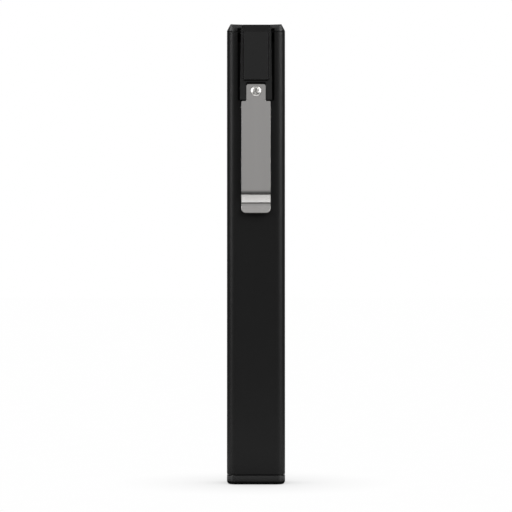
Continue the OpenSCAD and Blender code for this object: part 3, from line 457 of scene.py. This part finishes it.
moulded("black_plastic", *CAP_BLACKS, 0.31)
moulded("chassis_plastic", grey(0.004), grey(0.006), 0.6, specular=0.15)
moulded("seal_rubber", grey(0.010), grey(0.016), 0.66, crater=0.1 * MM, depth=8e-6, specular=0.35)
moulded("chip_black", grey(0.014), grey(0.02), 0.38, crater=0.08 * MM)
moulded("plunger_plastic", grey(0.62, 0.02), grey(0.7, 0.02), 0.4)
moulded("lead_red", (0.42, 0.02, 0.015, 1), (0.5, 0.03, 0.02, 1), 0.45, crater=0.4 * MM)
moulded("lead_ivory", (0.66, 0.61, 0.49, 1), (0.74, 0.69, 0.57, 1), 0.45, crater=0.4 * MM)
moulded("pad_foam", grey(0.03), grey(0.07), 0.85, crater=0.35 * MM, depth=1e-4, specular=0.2)
moulded("led_package", grey(0.72), grey(0.8), 0.45)
print("moulded finishes:", len(FINISHES))

# %% [markdown]
# ### Top cap
# The plug of the top cap shows in the grooves beside the holder. Below the tube's upper end the cap's finish
# gives way to a plain dull one, darker than the cap's own black: painted shade that makes the grooves look
# black.

# %% Top cap
CAP_ROUGHNESS = 0.5
# The plug's black, darker than CAP_BLACKS: painted shade for the plug down in the grooves
PLUG_SHADE_BLACK = grey(0.002)
PLUG_FADE = 0.1 * MM

cap_finish = moulded("top_cap_black", *CAP_BLACKS, CAP_ROUGHNESS)
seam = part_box("body_tube")[1].z
cap_height = cap_finish.node("ShaderNodeSeparateXYZ", inputs={0: cap_finish.place}, output="Z")
# Dull shader without shine for the plug: painted shade in the grooves
painted_plug_shade = cap_finish.node("ShaderNodeBsdfDiffuse", inputs={"Color": PLUG_SHADE_BLACK})
outside = Value(cap_finish, cap_finish.shader.outputs[0])
shown = {0: cap_height.step(seam - PLUG_FADE, seam), 1: painted_plug_shade, 2: outside}
surface = cap_finish.node("ShaderNodeMixShader", inputs=shown)
cap_finish.fill(cap_finish.tree.nodes["Material Output"], {"Surface": surface})
OWN_FINISHES = {"top_cap": "top_cap_black"}
print("finish gives way at mm:", round(seam / MM, 2))

# %% [markdown]
# ### Metals
# A metal's colour is its reflection. Brushed steel has lines along the strip, which spread the reflection
# sideways and leave broad, faint streaks. Plated and turned metals take the same function without brushing.

# %% Metals
ALONG_Z = (1, 1, 0.012)
LINE_DEPTH = 0.0015 * MM


def metal(slot, colour, roughness, brush=(1, 1, 1), line=0.08 * MM, streak=1.6 * MM, vary=0.06):
    """A bare or plated metal, brushed along the axis in which brush is small."""
    finish = Finish(slot)
    lines = finish.grain(line, stretch=brush)
    streaks = finish.grain(streak, stretch=brush)
    dull = tuple(channel * (1 - vary) for channel in colour[:3]) + (1,)
    finish.set(
        Base_Color=finish.mix(lines * 0.4 + streaks * 0.6, dull, colour),
        Metallic=1.0,
        Roughness=roughness - 0.05 + 0.05 * lines + 0.05 * streaks,
        Normal=finish.bump(lines, LINE_DEPTH),
    )
    keep(slot, finish)


metal("clip_steel", (0.75, 0.735, 0.72, 1), 0.2, brush=ALONG_Z, vary=0.14)
metal("screw_steel", (0.64, 0.63, 0.61, 1), 0.4, line=0.2 * MM)
# Lighter than screw_steel: painted light on the walls of the cross recess, which lie in shade
metal("recess_steel", (0.85, 0.84, 0.82, 1), 0.7, line=0.2 * MM)
metal("insert_brass", (0.75, 0.56, 0.28, 1), 0.28)
metal("magnet_nickel", (0.66, 0.65, 0.62, 1), 0.2)
metal("plain_aluminium", (0.8, 0.81, 0.82, 1), 0.34, brush=ALONG_Z)
metal("socket_steel", (0.7, 0.7, 0.71, 1), 0.22)
metal("cell_foil", (0.6, 0.61, 0.63, 1), 0.36, streak=4 * MM)
print("finishes with metals:", len(FINISHES))

# %% [markdown]
# ### Clear plastic, boards and light chips
# The window and the lenses are clear plastic: light goes in and out of them as through glass. The boards are
# glass fibre under solder lacquer, whose weave shows as a faint grid. The light chips are yellow with
# phosphor.

# %% Clear plastic
ACRYLIC_IOR = 1.49
HAZE = 2.5 * MM

clear = Finish("clear_plastic")
haze = clear.grain(HAZE)
clear.set(
    Base_Color=clear.mix(haze, grey(0.95), grey(0.99)),
    Roughness=0.03 + 0.03 * haze,
    IOR=ACRYLIC_IOR,
    Transmission_Weight=1.0,
)
keep("clear_plastic", clear)
print("clear plastic nodes:", len(clear.tree.nodes))

# %% Boards and light chips
WEAVE = 0.5 * MM
WARP_STRETCH = (1, 1, 0.2)
WEFT_STRETCH = (0.2, 1, 1)
SPECK = 0.06 * MM
SPECK_DETAIL = 4.0
PHOSPHOR_YELLOWS = ((0.78, 0.55, 0.09, 1), (0.88, 0.72, 0.2, 1))
GRAIN_DEPTH = 0.01 * MM


def board(slot, dark, light, roughness):
    """Lacquered glass fibre board with a faint weave."""
    finish = Finish(slot)
    weave = finish.grain(WEAVE, stretch=WARP_STRETCH) * 0.5 + finish.grain(WEAVE, stretch=WEFT_STRETCH) * 0.5
    finish.set(
        Base_Color=finish.mix(weave, dark, light),
        Roughness=roughness + 0.08 * weave,
        Normal=finish.bump(weave, GRAIN_DEPTH),
    )
    keep(slot, finish)


board("board_white", grey(0.74, 0.01), grey(0.82, 0.01), 0.4)
board("board_green", (0.008, 0.07, 0.03, 1), (0.014, 0.1, 0.045, 1), 0.3)
phosphor = Finish("led_phosphor")
specks = phosphor.grain(SPECK, detail=SPECK_DETAIL)
phosphor.set(
    Base_Color=phosphor.mix(specks, *PHOSPHOR_YELLOWS),
    Roughness=0.5 + 0.2 * specks,
    Normal=phosphor.bump(specks, GRAIN_DEPTH),
)
keep("led_phosphor", phosphor)
print("finishes:", sorted(FINISHES))

# %% [markdown]
# ## Dressing the CAD pieces
# Solids from CAD have knife-sharp edges, and real ones never do: a thin rounding catches the light and makes
# a solid look made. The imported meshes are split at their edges, so a small geometry group welds them first.
# Flat faces are then joined up, and the edges rounded by a modifier, which leaves the mesh itself as it is.

# %% Welding and rounding
WELD = 0.002 * MM
EDGE_ANGLE = math.radians(28)
EDGE_STEPS = 3


def weld_group():
    """Geometry group that joins a split mesh and shades it smooth."""
    group = bpy.data.node_groups.new("weld_edges", "GeometryNodeTree")
    group.interface.new_socket("Geometry", in_out="INPUT", socket_type="NodeSocketGeometry")
    group.interface.new_socket("Geometry", in_out="OUTPUT", socket_type="NodeSocketGeometry")
    kinds = ["NodeGroupInput", "GeometryNodeRemoveAttribute", "GeometryNodeMergeByDistance",
             "GeometryNodeSetShadeSmooth", "NodeGroupOutput"]
    chain = [group.nodes.new(kind) for kind in kinds]
    for node, follower in zip(chain, chain[1:]):
        group.links.new(node.outputs[0], follower.inputs[0])
    chain[1].inputs["Name"].default_value = "custom_normal"
    chain[2].inputs["Distance"].default_value = WELD
    return group


WELD_GROUP = weld_group()


def round_edges(piece, size, steps=EDGE_STEPS, angle=EDGE_ANGLE):
    """Rounds a piece's sharp edges and shades its flats flat."""
    bevel = piece.modifiers.new("rounded_edges", "BEVEL")
    bevel.width = size
    bevel.segments = steps
    bevel.limit_method = "ANGLE"
    bevel.angle_limit = angle
    piece.modifiers.new("even_shading", "WEIGHTED_NORMAL")


print("weld group nodes:", len(WELD_GROUP.nodes))

# %% Dressing the CAD pieces
FLAT_ANGLE = 0.01
# Width of the rounding of each node's edges, in mm
EDGE_SIZES = {
    "body_tube": 0.12, "top_cap": 0.1, "bottom_cap": 0.12, "clip_holder": 0.26, "button": 0.3,
    "light_window": 0.25, "chassis": 0.1, "bottom_cap_screws": 0.06, "board_screws": 0.06,
    "battery_cell": 0.3, "main_board": 0.05, "board_components": 0.08, "switch_body": 0.1,
    "switch_plunger": 0.15, "usb_socket": 0.04, "spot_lens": 0.08, "heat_spreader": 0.08,
    "holder_magnet": 0.15, "charge_light_pipe": 0.1,
}


def dress(name):
    """Gives a CAD node the finish of its slot, and rounded edges where it has a size for them."""
    node = NODES[name]
    slot = node.material_slots[0].material.name.split(".")[0]
    node.material_slots[0].material = FINISHES[OWN_FINISHES.get(name, slot)]
    if name in EDGE_SIZES:
        node.modifiers.new("weld", "NODES").node_group = WELD_GROUP
        flats = node.modifiers.new("whole_flats", "DECIMATE")
        flats.decimate_type = "DISSOLVE"
        flats.angle_limit = FLAT_ANGLE
        round_edges(node, EDGE_SIZES[name] * MM)


for node_name in NODES:
    dress(node_name)
print("dressed:", len(NODES), "of which rounded:", len(EDGE_SIZES))

# %% [markdown]
# ## Making a piece
# New pieces are built with bmesh, a mesh editor without a window. One helper turns the result into an object
# with its finish, and another makes its modifiers part of the mesh, which a piece that bends across a joint
# needs.

# %% Making a piece
TOUCHING = 1e-7


def arc(centre, radius, start, end, steps=8):
    """Points on an arc between two directions in degrees."""
    turns = [math.radians(start + (end - start) * i / steps) for i in range(steps + 1)]
    return [(centre[0] + radius * math.cos(t), centre[1] + radius * math.sin(t)) for t in turns]


def make_piece(name, mesh_in_hand, *slots):
    """An object from a bmesh, smooth, with the finishes of those slots."""
    mesh = bpy.data.meshes.new(name)
    mesh_in_hand.to_mesh(mesh)
    mesh_in_hand.free()
    for slot in slots:
        mesh.materials.append(FINISHES[slot])
    mesh.polygons.foreach_set("use_smooth", [True] * len(mesh.polygons))
    piece = bpy.data.objects.new(name, mesh)
    SCENE.collection.objects.link(piece)
    return piece


def settle(piece):
    """Makes a piece's modifiers part of its mesh."""
    shown = piece.evaluated_get(bpy.context.evaluated_depsgraph_get())
    mesh = bpy.data.meshes.new_from_object(shown)
    mesh.name = piece.name
    piece.modifiers.clear()
    piece.data = mesh


def slice_rows(mesh_in_hand, axis, rows):
    """Cuts a mesh across one axis at each row, so that it can bend there."""
    normal = Vector([float(i == axis) for i in range(3)])
    for row in rows:
        plane = {"plane_co": normal * row, "plane_no": normal, "dist": TOUCHING}
        everything = mesh_in_hand.verts[:] + mesh_in_hand.edges[:] + mesh_in_hand.faces[:]
        bmesh.ops.bisect_plane(mesh_in_hand, geom=everything, **plane)


print("piece helpers ready")

# %% [markdown]
# ## Pocket clip
# The clip is one strip of spring steel, cut to outline and then bent. It is made here in the same order. Half
# of the flat outline is drawn, with the screw hole and every round corner, cut across where the bends come,
# and mirrored. Then each point moves to its place along the bent strip. The CAD model splits the clip at the
# holder for its joint; here it is whole, with rows of points across that joint.

# %% The clip's bends
BEND_OUTER = 4.0 * MM
TOUCH_INNER = 1.5 * MM
SLOPE_ANGLE = 27.5
LIP_ANGLE = 25.0
LIP_LENGTH = 2.6 * MM

tab_low, tab_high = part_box("clip_tab")
leaf_low, leaf_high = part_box("clip_leaf")
screw_low, screw_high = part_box("clip_screw")
hinge = Vector(next(j for j in frame["joints"] if j["name"] == "clip_flex")["pos_m"])
strip = tab_high.y - tab_low.y
screw_height = (screw_low.z + screw_high.z) / 2


def clip_route():
    """Each straight of the strip's middle from the tab down, and its bend's turn in degrees and radius."""
    slope, lip = math.radians(SLOPE_ANGLE), math.radians(LIP_ANGLE)
    bend, touch = BEND_OUTER - strip / 2, TOUCH_INNER + strip / 2
    touch_y = leaf_high.y - TOUCH_INNER - strip
    touch_z = leaf_low.z + touch * math.sin(lip) + LIP_LENGTH * math.cos(lip) + strip / 2 * math.sin(lip)
    run = touch_y + touch * math.cos(slope) - tab_low.y - strip / 2 - bend * (1 - math.cos(slope))
    slope_length = run / math.sin(slope)
    bend_z = touch_z + touch * math.sin(slope) + slope_length * math.cos(slope) + bend * math.sin(slope)
    leaf_part = (tab_high.z - bend_z, SLOPE_ANGLE, bend)
    slope_part = (slope_length, -SLOPE_ANGLE - LIP_ANGLE, touch)
    lip_part = (LIP_LENGTH, 0, 1)
    return [leaf_part, slope_part, lip_part]


def walk(route, distance):
    """Place in Y and Z at a distance along the strip's middle."""
    place, heading = Vector((tab_low.y + strip / 2, tab_high.z)), 0.0
    for length, turn, radius in route:
        ahead = min(distance, length)
        place = place + ahead * Vector((math.sin(heading), -math.cos(heading)))
        distance -= ahead
        turned = math.copysign(min(distance / radius, abs(math.radians(turn))), turn)
        half = turned / 2
        chord = 2 * radius * math.sin(abs(half))
        place = place + chord * Vector((math.sin(heading + half), -math.cos(heading + half)))
        distance -= abs(turned) * radius
        heading += turned
    return place


print("clip straights in mm:", [round(part[0] / MM, 2) for part in clip_route()])

# %% The clip's flat outline
NECK = 0.5 * MM
TAB_CORNER = 0.7 * MM
SHOULDER_CORNER = 0.35 * MM
NECK_FILLET = 0.4 * MM
LIP_CORNER = 1.5 * MM
CLIP_HOLE = 1.1 * MM
HOLE_STEPS = 24


def clip_half(length):
    """Half of the flat outline: across the strip, and down from the tab's top."""
    wide, slim = leaf_high.x, tab_high.x
    shoulder = tab_high.z - hinge.z + NECK
    hole = tab_high.z - screw_height
    lip = arc((wide - LIP_CORNER, length - LIP_CORNER), LIP_CORNER, 90, 0)
    corner = arc((wide - SHOULDER_CORNER, shoulder + SHOULDER_CORNER), SHOULDER_CORNER, 0, -90)
    fillet = arc((slim + NECK_FILLET, shoulder - NECK_FILLET), NECK_FILLET, 90, 180)
    tab = arc((slim - TAB_CORNER, TAB_CORNER), TAB_CORNER, 0, -90)
    bore = arc((0, hole), CLIP_HOLE, -90, 90, steps=HOLE_STEPS)
    return [(0, length)] + lip + corner + fillet + tab + [(0, 0)] + bore


print("screw hole from the tab's top in mm:", round((tab_high.z - screw_height) / MM, 2))

# %% Pocket clip
BEND_STEPS = 12
FLEX_STEP = 0.2 * MM
FLEX_ROWS = range(-4, 7)
CLIP_EDGE = 0.22 * MM
CLIP_EDGE_ANGLE = math.radians(50)


def clip_mesh():
    """The bent strip's middle surface."""
    route = clip_route()
    rows, along = [], 0.0
    for length, turn, radius in route:
        along += length
        bend = abs(math.radians(turn)) * radius
        rows += [along + bend * i / BEND_STEPS for i in range(BEND_STEPS + 1)] if turn else []
        along += bend
    flex = tab_high.z - hinge.z
    rows += [flex + i * FLEX_STEP for i in FLEX_ROWS]
    blank = bmesh.new()
    blank.faces.new([blank.verts.new((x, s, 0)) for x, s in clip_half(along)])
    slice_rows(blank, 1, rows)
    other = bmesh.ops.duplicate(blank, geom=blank.verts[:] + blank.edges[:] + blank.faces[:])["geom"]
    for vert in [item for item in other if isinstance(item, bmesh.types.BMVert)]:
        vert.co.x = -vert.co.x
    bmesh.ops.reverse_faces(blank, faces=[item for item in other if isinstance(item, bmesh.types.BMFace)])
    bmesh.ops.remove_doubles(blank, verts=blank.verts[:], dist=TOUCHING)
    for vert in blank.verts:
        spot = walk(route, vert.co.y)
        vert.co = (vert.co.x, spot.x, spot.y)
    return blank


clip = make_piece("pocket_clip", clip_mesh(), "clip_steel")
thick = clip.modifiers.new("strip_thickness", "SOLIDIFY")
thick.thickness = strip
thick.offset = 0
thick.use_even_offset = True
round_edges(clip, CLIP_EDGE, angle=CLIP_EDGE_ANGLE)
settle(clip)
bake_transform(clip)
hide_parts("clip_tab", "clip_leaf")
print("clip faces:", len(clip.data.polygons))

# %% [markdown]
# ## Clip screw
# A small plated machine screw holds the clip. Its head is flat in the middle and falls away to a sloping
# ring, which mirrors the lights. Its outline is turned round its axis, as on a lathe, and a tapered cross is
# then taken out of the head, as the punch makes it. The walls of that cross are duller than the head, and
# lighter: painted light that lifts them out of the recess's shade.

# %% Turned screw
HEAD_FLAT = 0.95 * MM
HEAD_RIM = 0.13 * MM
HEAD_SLOPE = math.radians(33)
SHANK_RADIUS = 1.0 * MM
SHANK_TIP = 0.4 * MM
TIP_SHARE = 0.6
LATHE_STEPS = 64

head_radius = screw_high.x
head_height = tab_low.y - screw_low.y
shank_end = screw_high.y - tab_low.y


def screw_mesh():
    """Head and shank turned round +Y from their outline, with the clip's outer face at zero."""
    ring_end = head_radius - HEAD_RIM
    rim_y = (ring_end - HEAD_FLAT) * math.tan(HEAD_SLOPE) - head_height
    outline = [(0, -head_height), (HEAD_FLAT, -head_height), (ring_end, rim_y)]
    # the rim turns over in two short facets
    outline += [(head_radius - 0.3 * HEAD_RIM, rim_y + 0.8 * HEAD_RIM), (head_radius, rim_y + 2 * HEAD_RIM)]
    outline += [(head_radius, 0), (SHANK_RADIUS, 0), (SHANK_RADIUS, shank_end - SHANK_TIP)]
    outline += [(TIP_SHARE * SHANK_RADIUS, shank_end), (0, shank_end)]
    turned = bmesh.new()
    ring = [turned.verts.new((r, y, 0)) for r, y in outline]
    edges = [turned.edges.new(pair) for pair in zip(ring, ring[1:])]
    lathe = {"axis": (0, 1, 0), "cent": (0, 0, 0), "steps": LATHE_STEPS, "angle": math.tau}
    bmesh.ops.spin(turned, geom=ring + edges, **lathe)
    bmesh.ops.remove_doubles(turned, verts=turned.verts[:], dist=TOUCHING)
    bmesh.ops.recalc_face_normals(turned, faces=turned.faces[:])
    return turned


print("screw head in mm:", round(2 * head_radius / MM, 2), "by", round(head_height / MM, 2))

# %% Cross recess
CROSS_SPAN = 2.1 * MM
CROSS_SLOT = 0.56 * MM
CROSS_DEPTH = 0.5 * MM
CROSS_TAPER = 0.55
PUNCH_REACH = 0.3 * MM


def cross_mesh():
    """A tapered cross that reaches from in front of the head to the bottom of the recess."""
    arm, slot = CROSS_SPAN / 2, CROSS_SLOT / 2
    quarter = [(slot, slot), (arm, slot), (arm, -slot)]
    outline = []
    for turn in range(4):
        c, s = round(math.cos(-turn * math.pi / 2)), round(math.sin(-turn * math.pi / 2))
        outline += [(c * x - s * z, s * x + c * z) for x, z in quarter]
    front, floor_y = -head_height - PUNCH_REACH, CROSS_DEPTH - head_height
    punch = bmesh.new()
    rings = []
    for y, size in [(front, 1.0), (-head_height, 1.0), (floor_y, CROSS_TAPER)]:
        rings.append([punch.verts.new((x * size, y, z * size)) for x, z in outline])
    for near, far in zip(rings, rings[1:]):
        for i in range(len(outline)):
            j = (i + 1) % len(outline)
            punch.faces.new((near[i], near[j], far[j], far[i])).material_index = 1
    punch.faces.new(rings[0])
    punch.faces.new(rings[-1][::-1])
    bmesh.ops.recalc_face_normals(punch, faces=punch.faces[:])
    return punch


print("recess depth in mm:", round(CROSS_DEPTH / MM, 2))

# %% Clip screw
SCREW_EDGE = 0.05 * MM
SCREW_EDGE_STEPS = 2
SCREW_EDGE_ANGLE = math.radians(40)
SCREW_TURN = math.radians(20)

screw = make_piece("clip_screw_detailed", screw_mesh(), "screw_steel", "recess_steel")
punch_tool = make_piece("cross_punch", cross_mesh(), "screw_steel", "recess_steel")
cut = screw.modifiers.new("cross_recess", "BOOLEAN")
cut.object = punch_tool
cut.operation = "DIFFERENCE"
cut.solver = "EXACT"
settle(screw)
bpy.data.objects.remove(punch_tool)
round_edges(screw, SCREW_EDGE, steps=SCREW_EDGE_STEPS, angle=SCREW_EDGE_ANGLE)
screw.rotation_euler = (0, SCREW_TURN, 0)
screw.location = (0, tab_low.y, screw_height)
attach(screw, "case")
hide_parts("clip_screw")
print("screw faces:", len(screw.data.polygons))

# %% [markdown]
# ## Port cover
# A cover of soft rubber closes the charging socket. It is moulded in one with its strap and with the anchor
# that is buttoned through the wall. Its forms are joined into one skin here, with rows of points across the
# strap.

# %% Outlines and prisms
def rounded_outline(y, z, wide, tall, corner):
    """A rectangle round (y, z) with round corners."""
    out = []
    for turn, (across, up_down) in enumerate([(1, 1), (-1, 1), (-1, -1), (1, -1)]):
        centre = (y + across * (wide / 2 - corner), z + up_down * (tall / 2 - corner))
        out += arc(centre, corner, 90 * turn, 90 * turn + 90)
    return out


def prism(outline, near, far):
    """A solid between two places on X with that outline in Y and Z."""
    solid = bmesh.new()
    rings = [[solid.verts.new((x, y, z)) for y, z in outline] for x in (near, far)]
    for i in range(len(outline)):
        j = (i + 1) % len(outline)
        solid.faces.new((rings[0][i], rings[0][j], rings[1][j], rings[1][i]))
    solid.faces.new(rings[0][::-1])
    solid.faces.new(rings[1])
    bmesh.ops.recalc_face_normals(solid, faces=solid.faces[:])
    return solid


def flat_outline(low, high, half):
    """A plain rectangle between two heights."""
    return [(-half, low), (half, low), (half, high), (-half, high)]


print("outline helpers ready")

# %% Forms of the port cover
COVER_LENGTH = 12.5 * MM
COVER_CORNER = 2.85 * MM
COVER_PLATE = 1.35 * MM
COVER_PLUG = (1.9 * MM, 7.64 * MM)
PLUG_CORNER = 0.76 * MM
STRAP_WIDTH = 4.0 * MM
STRAP_THICK = 0.8 * MM
ANCHOR_HEAD = 0.6 * MM
ANCHOR_OVER = 0.9 * MM

cover_low, cover_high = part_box("port_cover")
anchor_low, anchor_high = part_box("port_cover_anchor")
strap_hinge = Vector(next(j for j in frame["joints"] if j["name"] == "cover_swing")["pos_m"])
side = cover_high.x
plate_top = cover_low.z + COVER_LENGTH
port_middle = (cover_low.z + plate_top) / 2
strap_top = anchor_high.z - ANCHOR_OVER

plate_outline = rounded_outline(0, port_middle, cover_high.y - cover_low.y, COVER_LENGTH, COVER_CORNER)
plug_outline = rounded_outline(0, port_middle, *COVER_PLUG, PLUG_CORNER)
strap_outline = flat_outline(plate_top - COVER_CORNER, strap_top, STRAP_WIDTH / 2)
stem_outline = flat_outline(strap_hinge.z, strap_top, STRAP_WIDTH / 2)
head_outline = flat_outline(strap_hinge.z, anchor_high.z, anchor_high.y)
additions = [
    prism(plug_outline, cover_low.x, side - COVER_PLATE / 2),
    prism(strap_outline, side - STRAP_THICK, side),
    prism(stem_outline, anchor_low.x, side - STRAP_THICK / 2),
    prism(head_outline, anchor_low.x, anchor_low.x + ANCHOR_HEAD),
]
print("forms joined to the cover's plate:", len(additions))

# %% Port cover
STRAP_ROW = 0.12 * MM
COVER_EDGE = 0.16 * MM
COVER_EDGE_ANGLE = math.radians(40)

cover = make_piece("port_cover_whole", prism(plate_outline, side - COVER_PLATE, side), "seal_rubber")
helpers = [make_piece("cover_part", solid) for solid in additions]
for helper in helpers:
    join = cover.modifiers.new("join", "BOOLEAN")
    join.object = helper
    join.operation = "UNION"
    join.solver = "EXACT"
settle(cover)
for helper in helpers:
    bpy.data.objects.remove(helper)

skin = bmesh.new()
skin.from_mesh(cover.data)
rows = [plate_top + STRAP_ROW * i for i in range(int((strap_hinge.z - plate_top) / STRAP_ROW) + 1)]
slice_rows(skin, 2, rows)
skin.to_mesh(cover.data)
skin.free()
round_edges(cover, COVER_EDGE, angle=COVER_EDGE_ANGLE)
settle(cover)
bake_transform(cover)
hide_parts("port_cover", "port_cover_anchor")
print("cover faces:", len(cover.data.polygons))

# %% [markdown]
# ## Foam pad
# A strip of foam keeps the battery from rattling. It is squeezed flat between the battery and the heat
# spreader, so only its sides are free, and those draw in a little between the corners.

# %% Foam pad
PAD_DRAW = 0.25 * MM
PAD_ROWS = 24
PAD_EDGE = 0.2 * MM
PAD_EDGE_ANGLE = math.radians(50)

pad_low, pad_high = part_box("battery_pad")


def pad_mesh():
    """The foam strip, drawn as a prism along X and then turned along Y."""
    edge = []
    for row in range(PAD_ROWS + 1):
        share = row / PAD_ROWS
        drawn = PAD_DRAW * math.sin(math.pi * share)
        edge.append((pad_high.x - drawn, pad_low.z + share * (pad_high.z - pad_low.z)))
    strip_of_foam = prism(edge + [(-x, z) for x, z in reversed(edge)], pad_low.y, pad_high.y)
    for vert in strip_of_foam.verts:
        vert.co = (vert.co.y, vert.co.x, vert.co.z)
    bmesh.ops.recalc_face_normals(strip_of_foam, faces=strip_of_foam.faces[:])
    return strip_of_foam


pad = make_piece("foam_pad", pad_mesh(), "pad_foam")
round_edges(pad, PAD_EDGE, angle=PAD_EDGE_ANGLE)
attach(pad, "case")
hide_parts("battery_pad")
print("foam pad faces:", len(pad.data.polygons))

# %% [markdown]
# ## Light chips
# The strip lamp is a row of surface-mounted light chips. Each is a white box with a round well of yellow
# phosphor, and the solder at its two sides shines a little. One function builds a chip, and is called for
# every place where the CAD has one.

# %% One light chip
CHIP_LENGTH = 2.8 * MM
WELL_RADIUS = 1.12 * MM
WELL_FLOOR = 0.9 * WELL_RADIUS
WELL_DEPTH = 0.12 * MM
WELL_STEPS = 32
# How far the solder reaches out, along and up, and how far it lies under the chip
SOLDER = (0.35 * MM, 1.9 * MM, 0.3 * MM)
SOLDER_UNDER = 0.1 * MM
PACKAGE, PHOSPHOR, TIN = 0, 1, 2

chips_low, chips_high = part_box("strip_leds")


def add_box(solid, low, high, finish):
    """A closed box between two corners."""
    made = bmesh.ops.create_cube(solid, size=1.0)["verts"]
    for vert in made:
        vert.co = Vector([low[i] + (vert.co[i] + 0.5) * (high[i] - low[i]) for i in range(3)])
    for face in {face for vert in made for face in vert.link_faces}:
        face.material_index = finish


def add_chip(solid, z):
    """A light chip with its well and solder, its middle at that height."""
    wide, tall = chips_high.x, CHIP_LENGTH / 2
    back, front = chips_low.y, chips_high.y
    turns = [math.tau * i / WELL_STEPS for i in range(WELL_STEPS)]
    square = []
    for t in turns:
        reach = 1 / max(abs(math.cos(t)), abs(math.sin(t)))
        square.append((wide * reach * math.cos(t), tall * reach * math.sin(t)))
    well_rim = [(WELL_RADIUS * math.cos(t), WELL_RADIUS * math.sin(t)) for t in turns]
    well_floor = [(WELL_FLOOR * math.cos(t), WELL_FLOOR * math.sin(t)) for t in turns]
    rings = []
    for y, spots in [(back, square), (front, square), (front, well_rim), (front - WELL_DEPTH, well_floor)]:
        rings.append([solid.verts.new((x, y, z + up_down)) for x, up_down in spots])
    for near, far in zip(rings, rings[1:]):
        for i in range(WELL_STEPS):
            j = (i + 1) % WELL_STEPS
            solid.faces.new((near[i], near[j], far[j], far[i])).material_index = PACKAGE
    solid.faces.new(rings[0][::-1]).material_index = PACKAGE
    solid.faces.new(rings[-1]).material_index = PHOSPHOR
    out, along, rise = SOLDER
    for way in (-1, 1):
        ends = sorted([way * (wide - SOLDER_UNDER), way * (wide + out)])
        add_box(solid, (ends[0], back, z - along / 2), (ends[1], back + rise, z + along / 2), TIN)


print("chip width in mm:", round(2 * chips_high.x / MM, 2))

# %% Light chips
CHIP_COUNT = 15
CHIP_EDGE = 0.05 * MM
CHIP_EDGE_STEPS = 2
CHIP_EDGE_ANGLE = math.radians(50)

chip_pitch = (chips_high.z - chips_low.z - CHIP_LENGTH) / (CHIP_COUNT - 1)
chips_mesh = bmesh.new()
for number in range(CHIP_COUNT):
    add_chip(chips_mesh, chips_low.z + CHIP_LENGTH / 2 + number * chip_pitch)
bmesh.ops.recalc_face_normals(chips_mesh, faces=chips_mesh.faces[:])
chips = make_piece("light_chips", chips_mesh, "led_package", "led_phosphor", "socket_steel")
round_edges(chips, CHIP_EDGE, steps=CHIP_EDGE_STEPS, angle=CHIP_EDGE_ANGLE)
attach(chips, "case")
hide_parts("strip_leds")
print("light chips:", CHIP_COUNT, "pitch in mm:", round(chip_pitch / MM, 2))
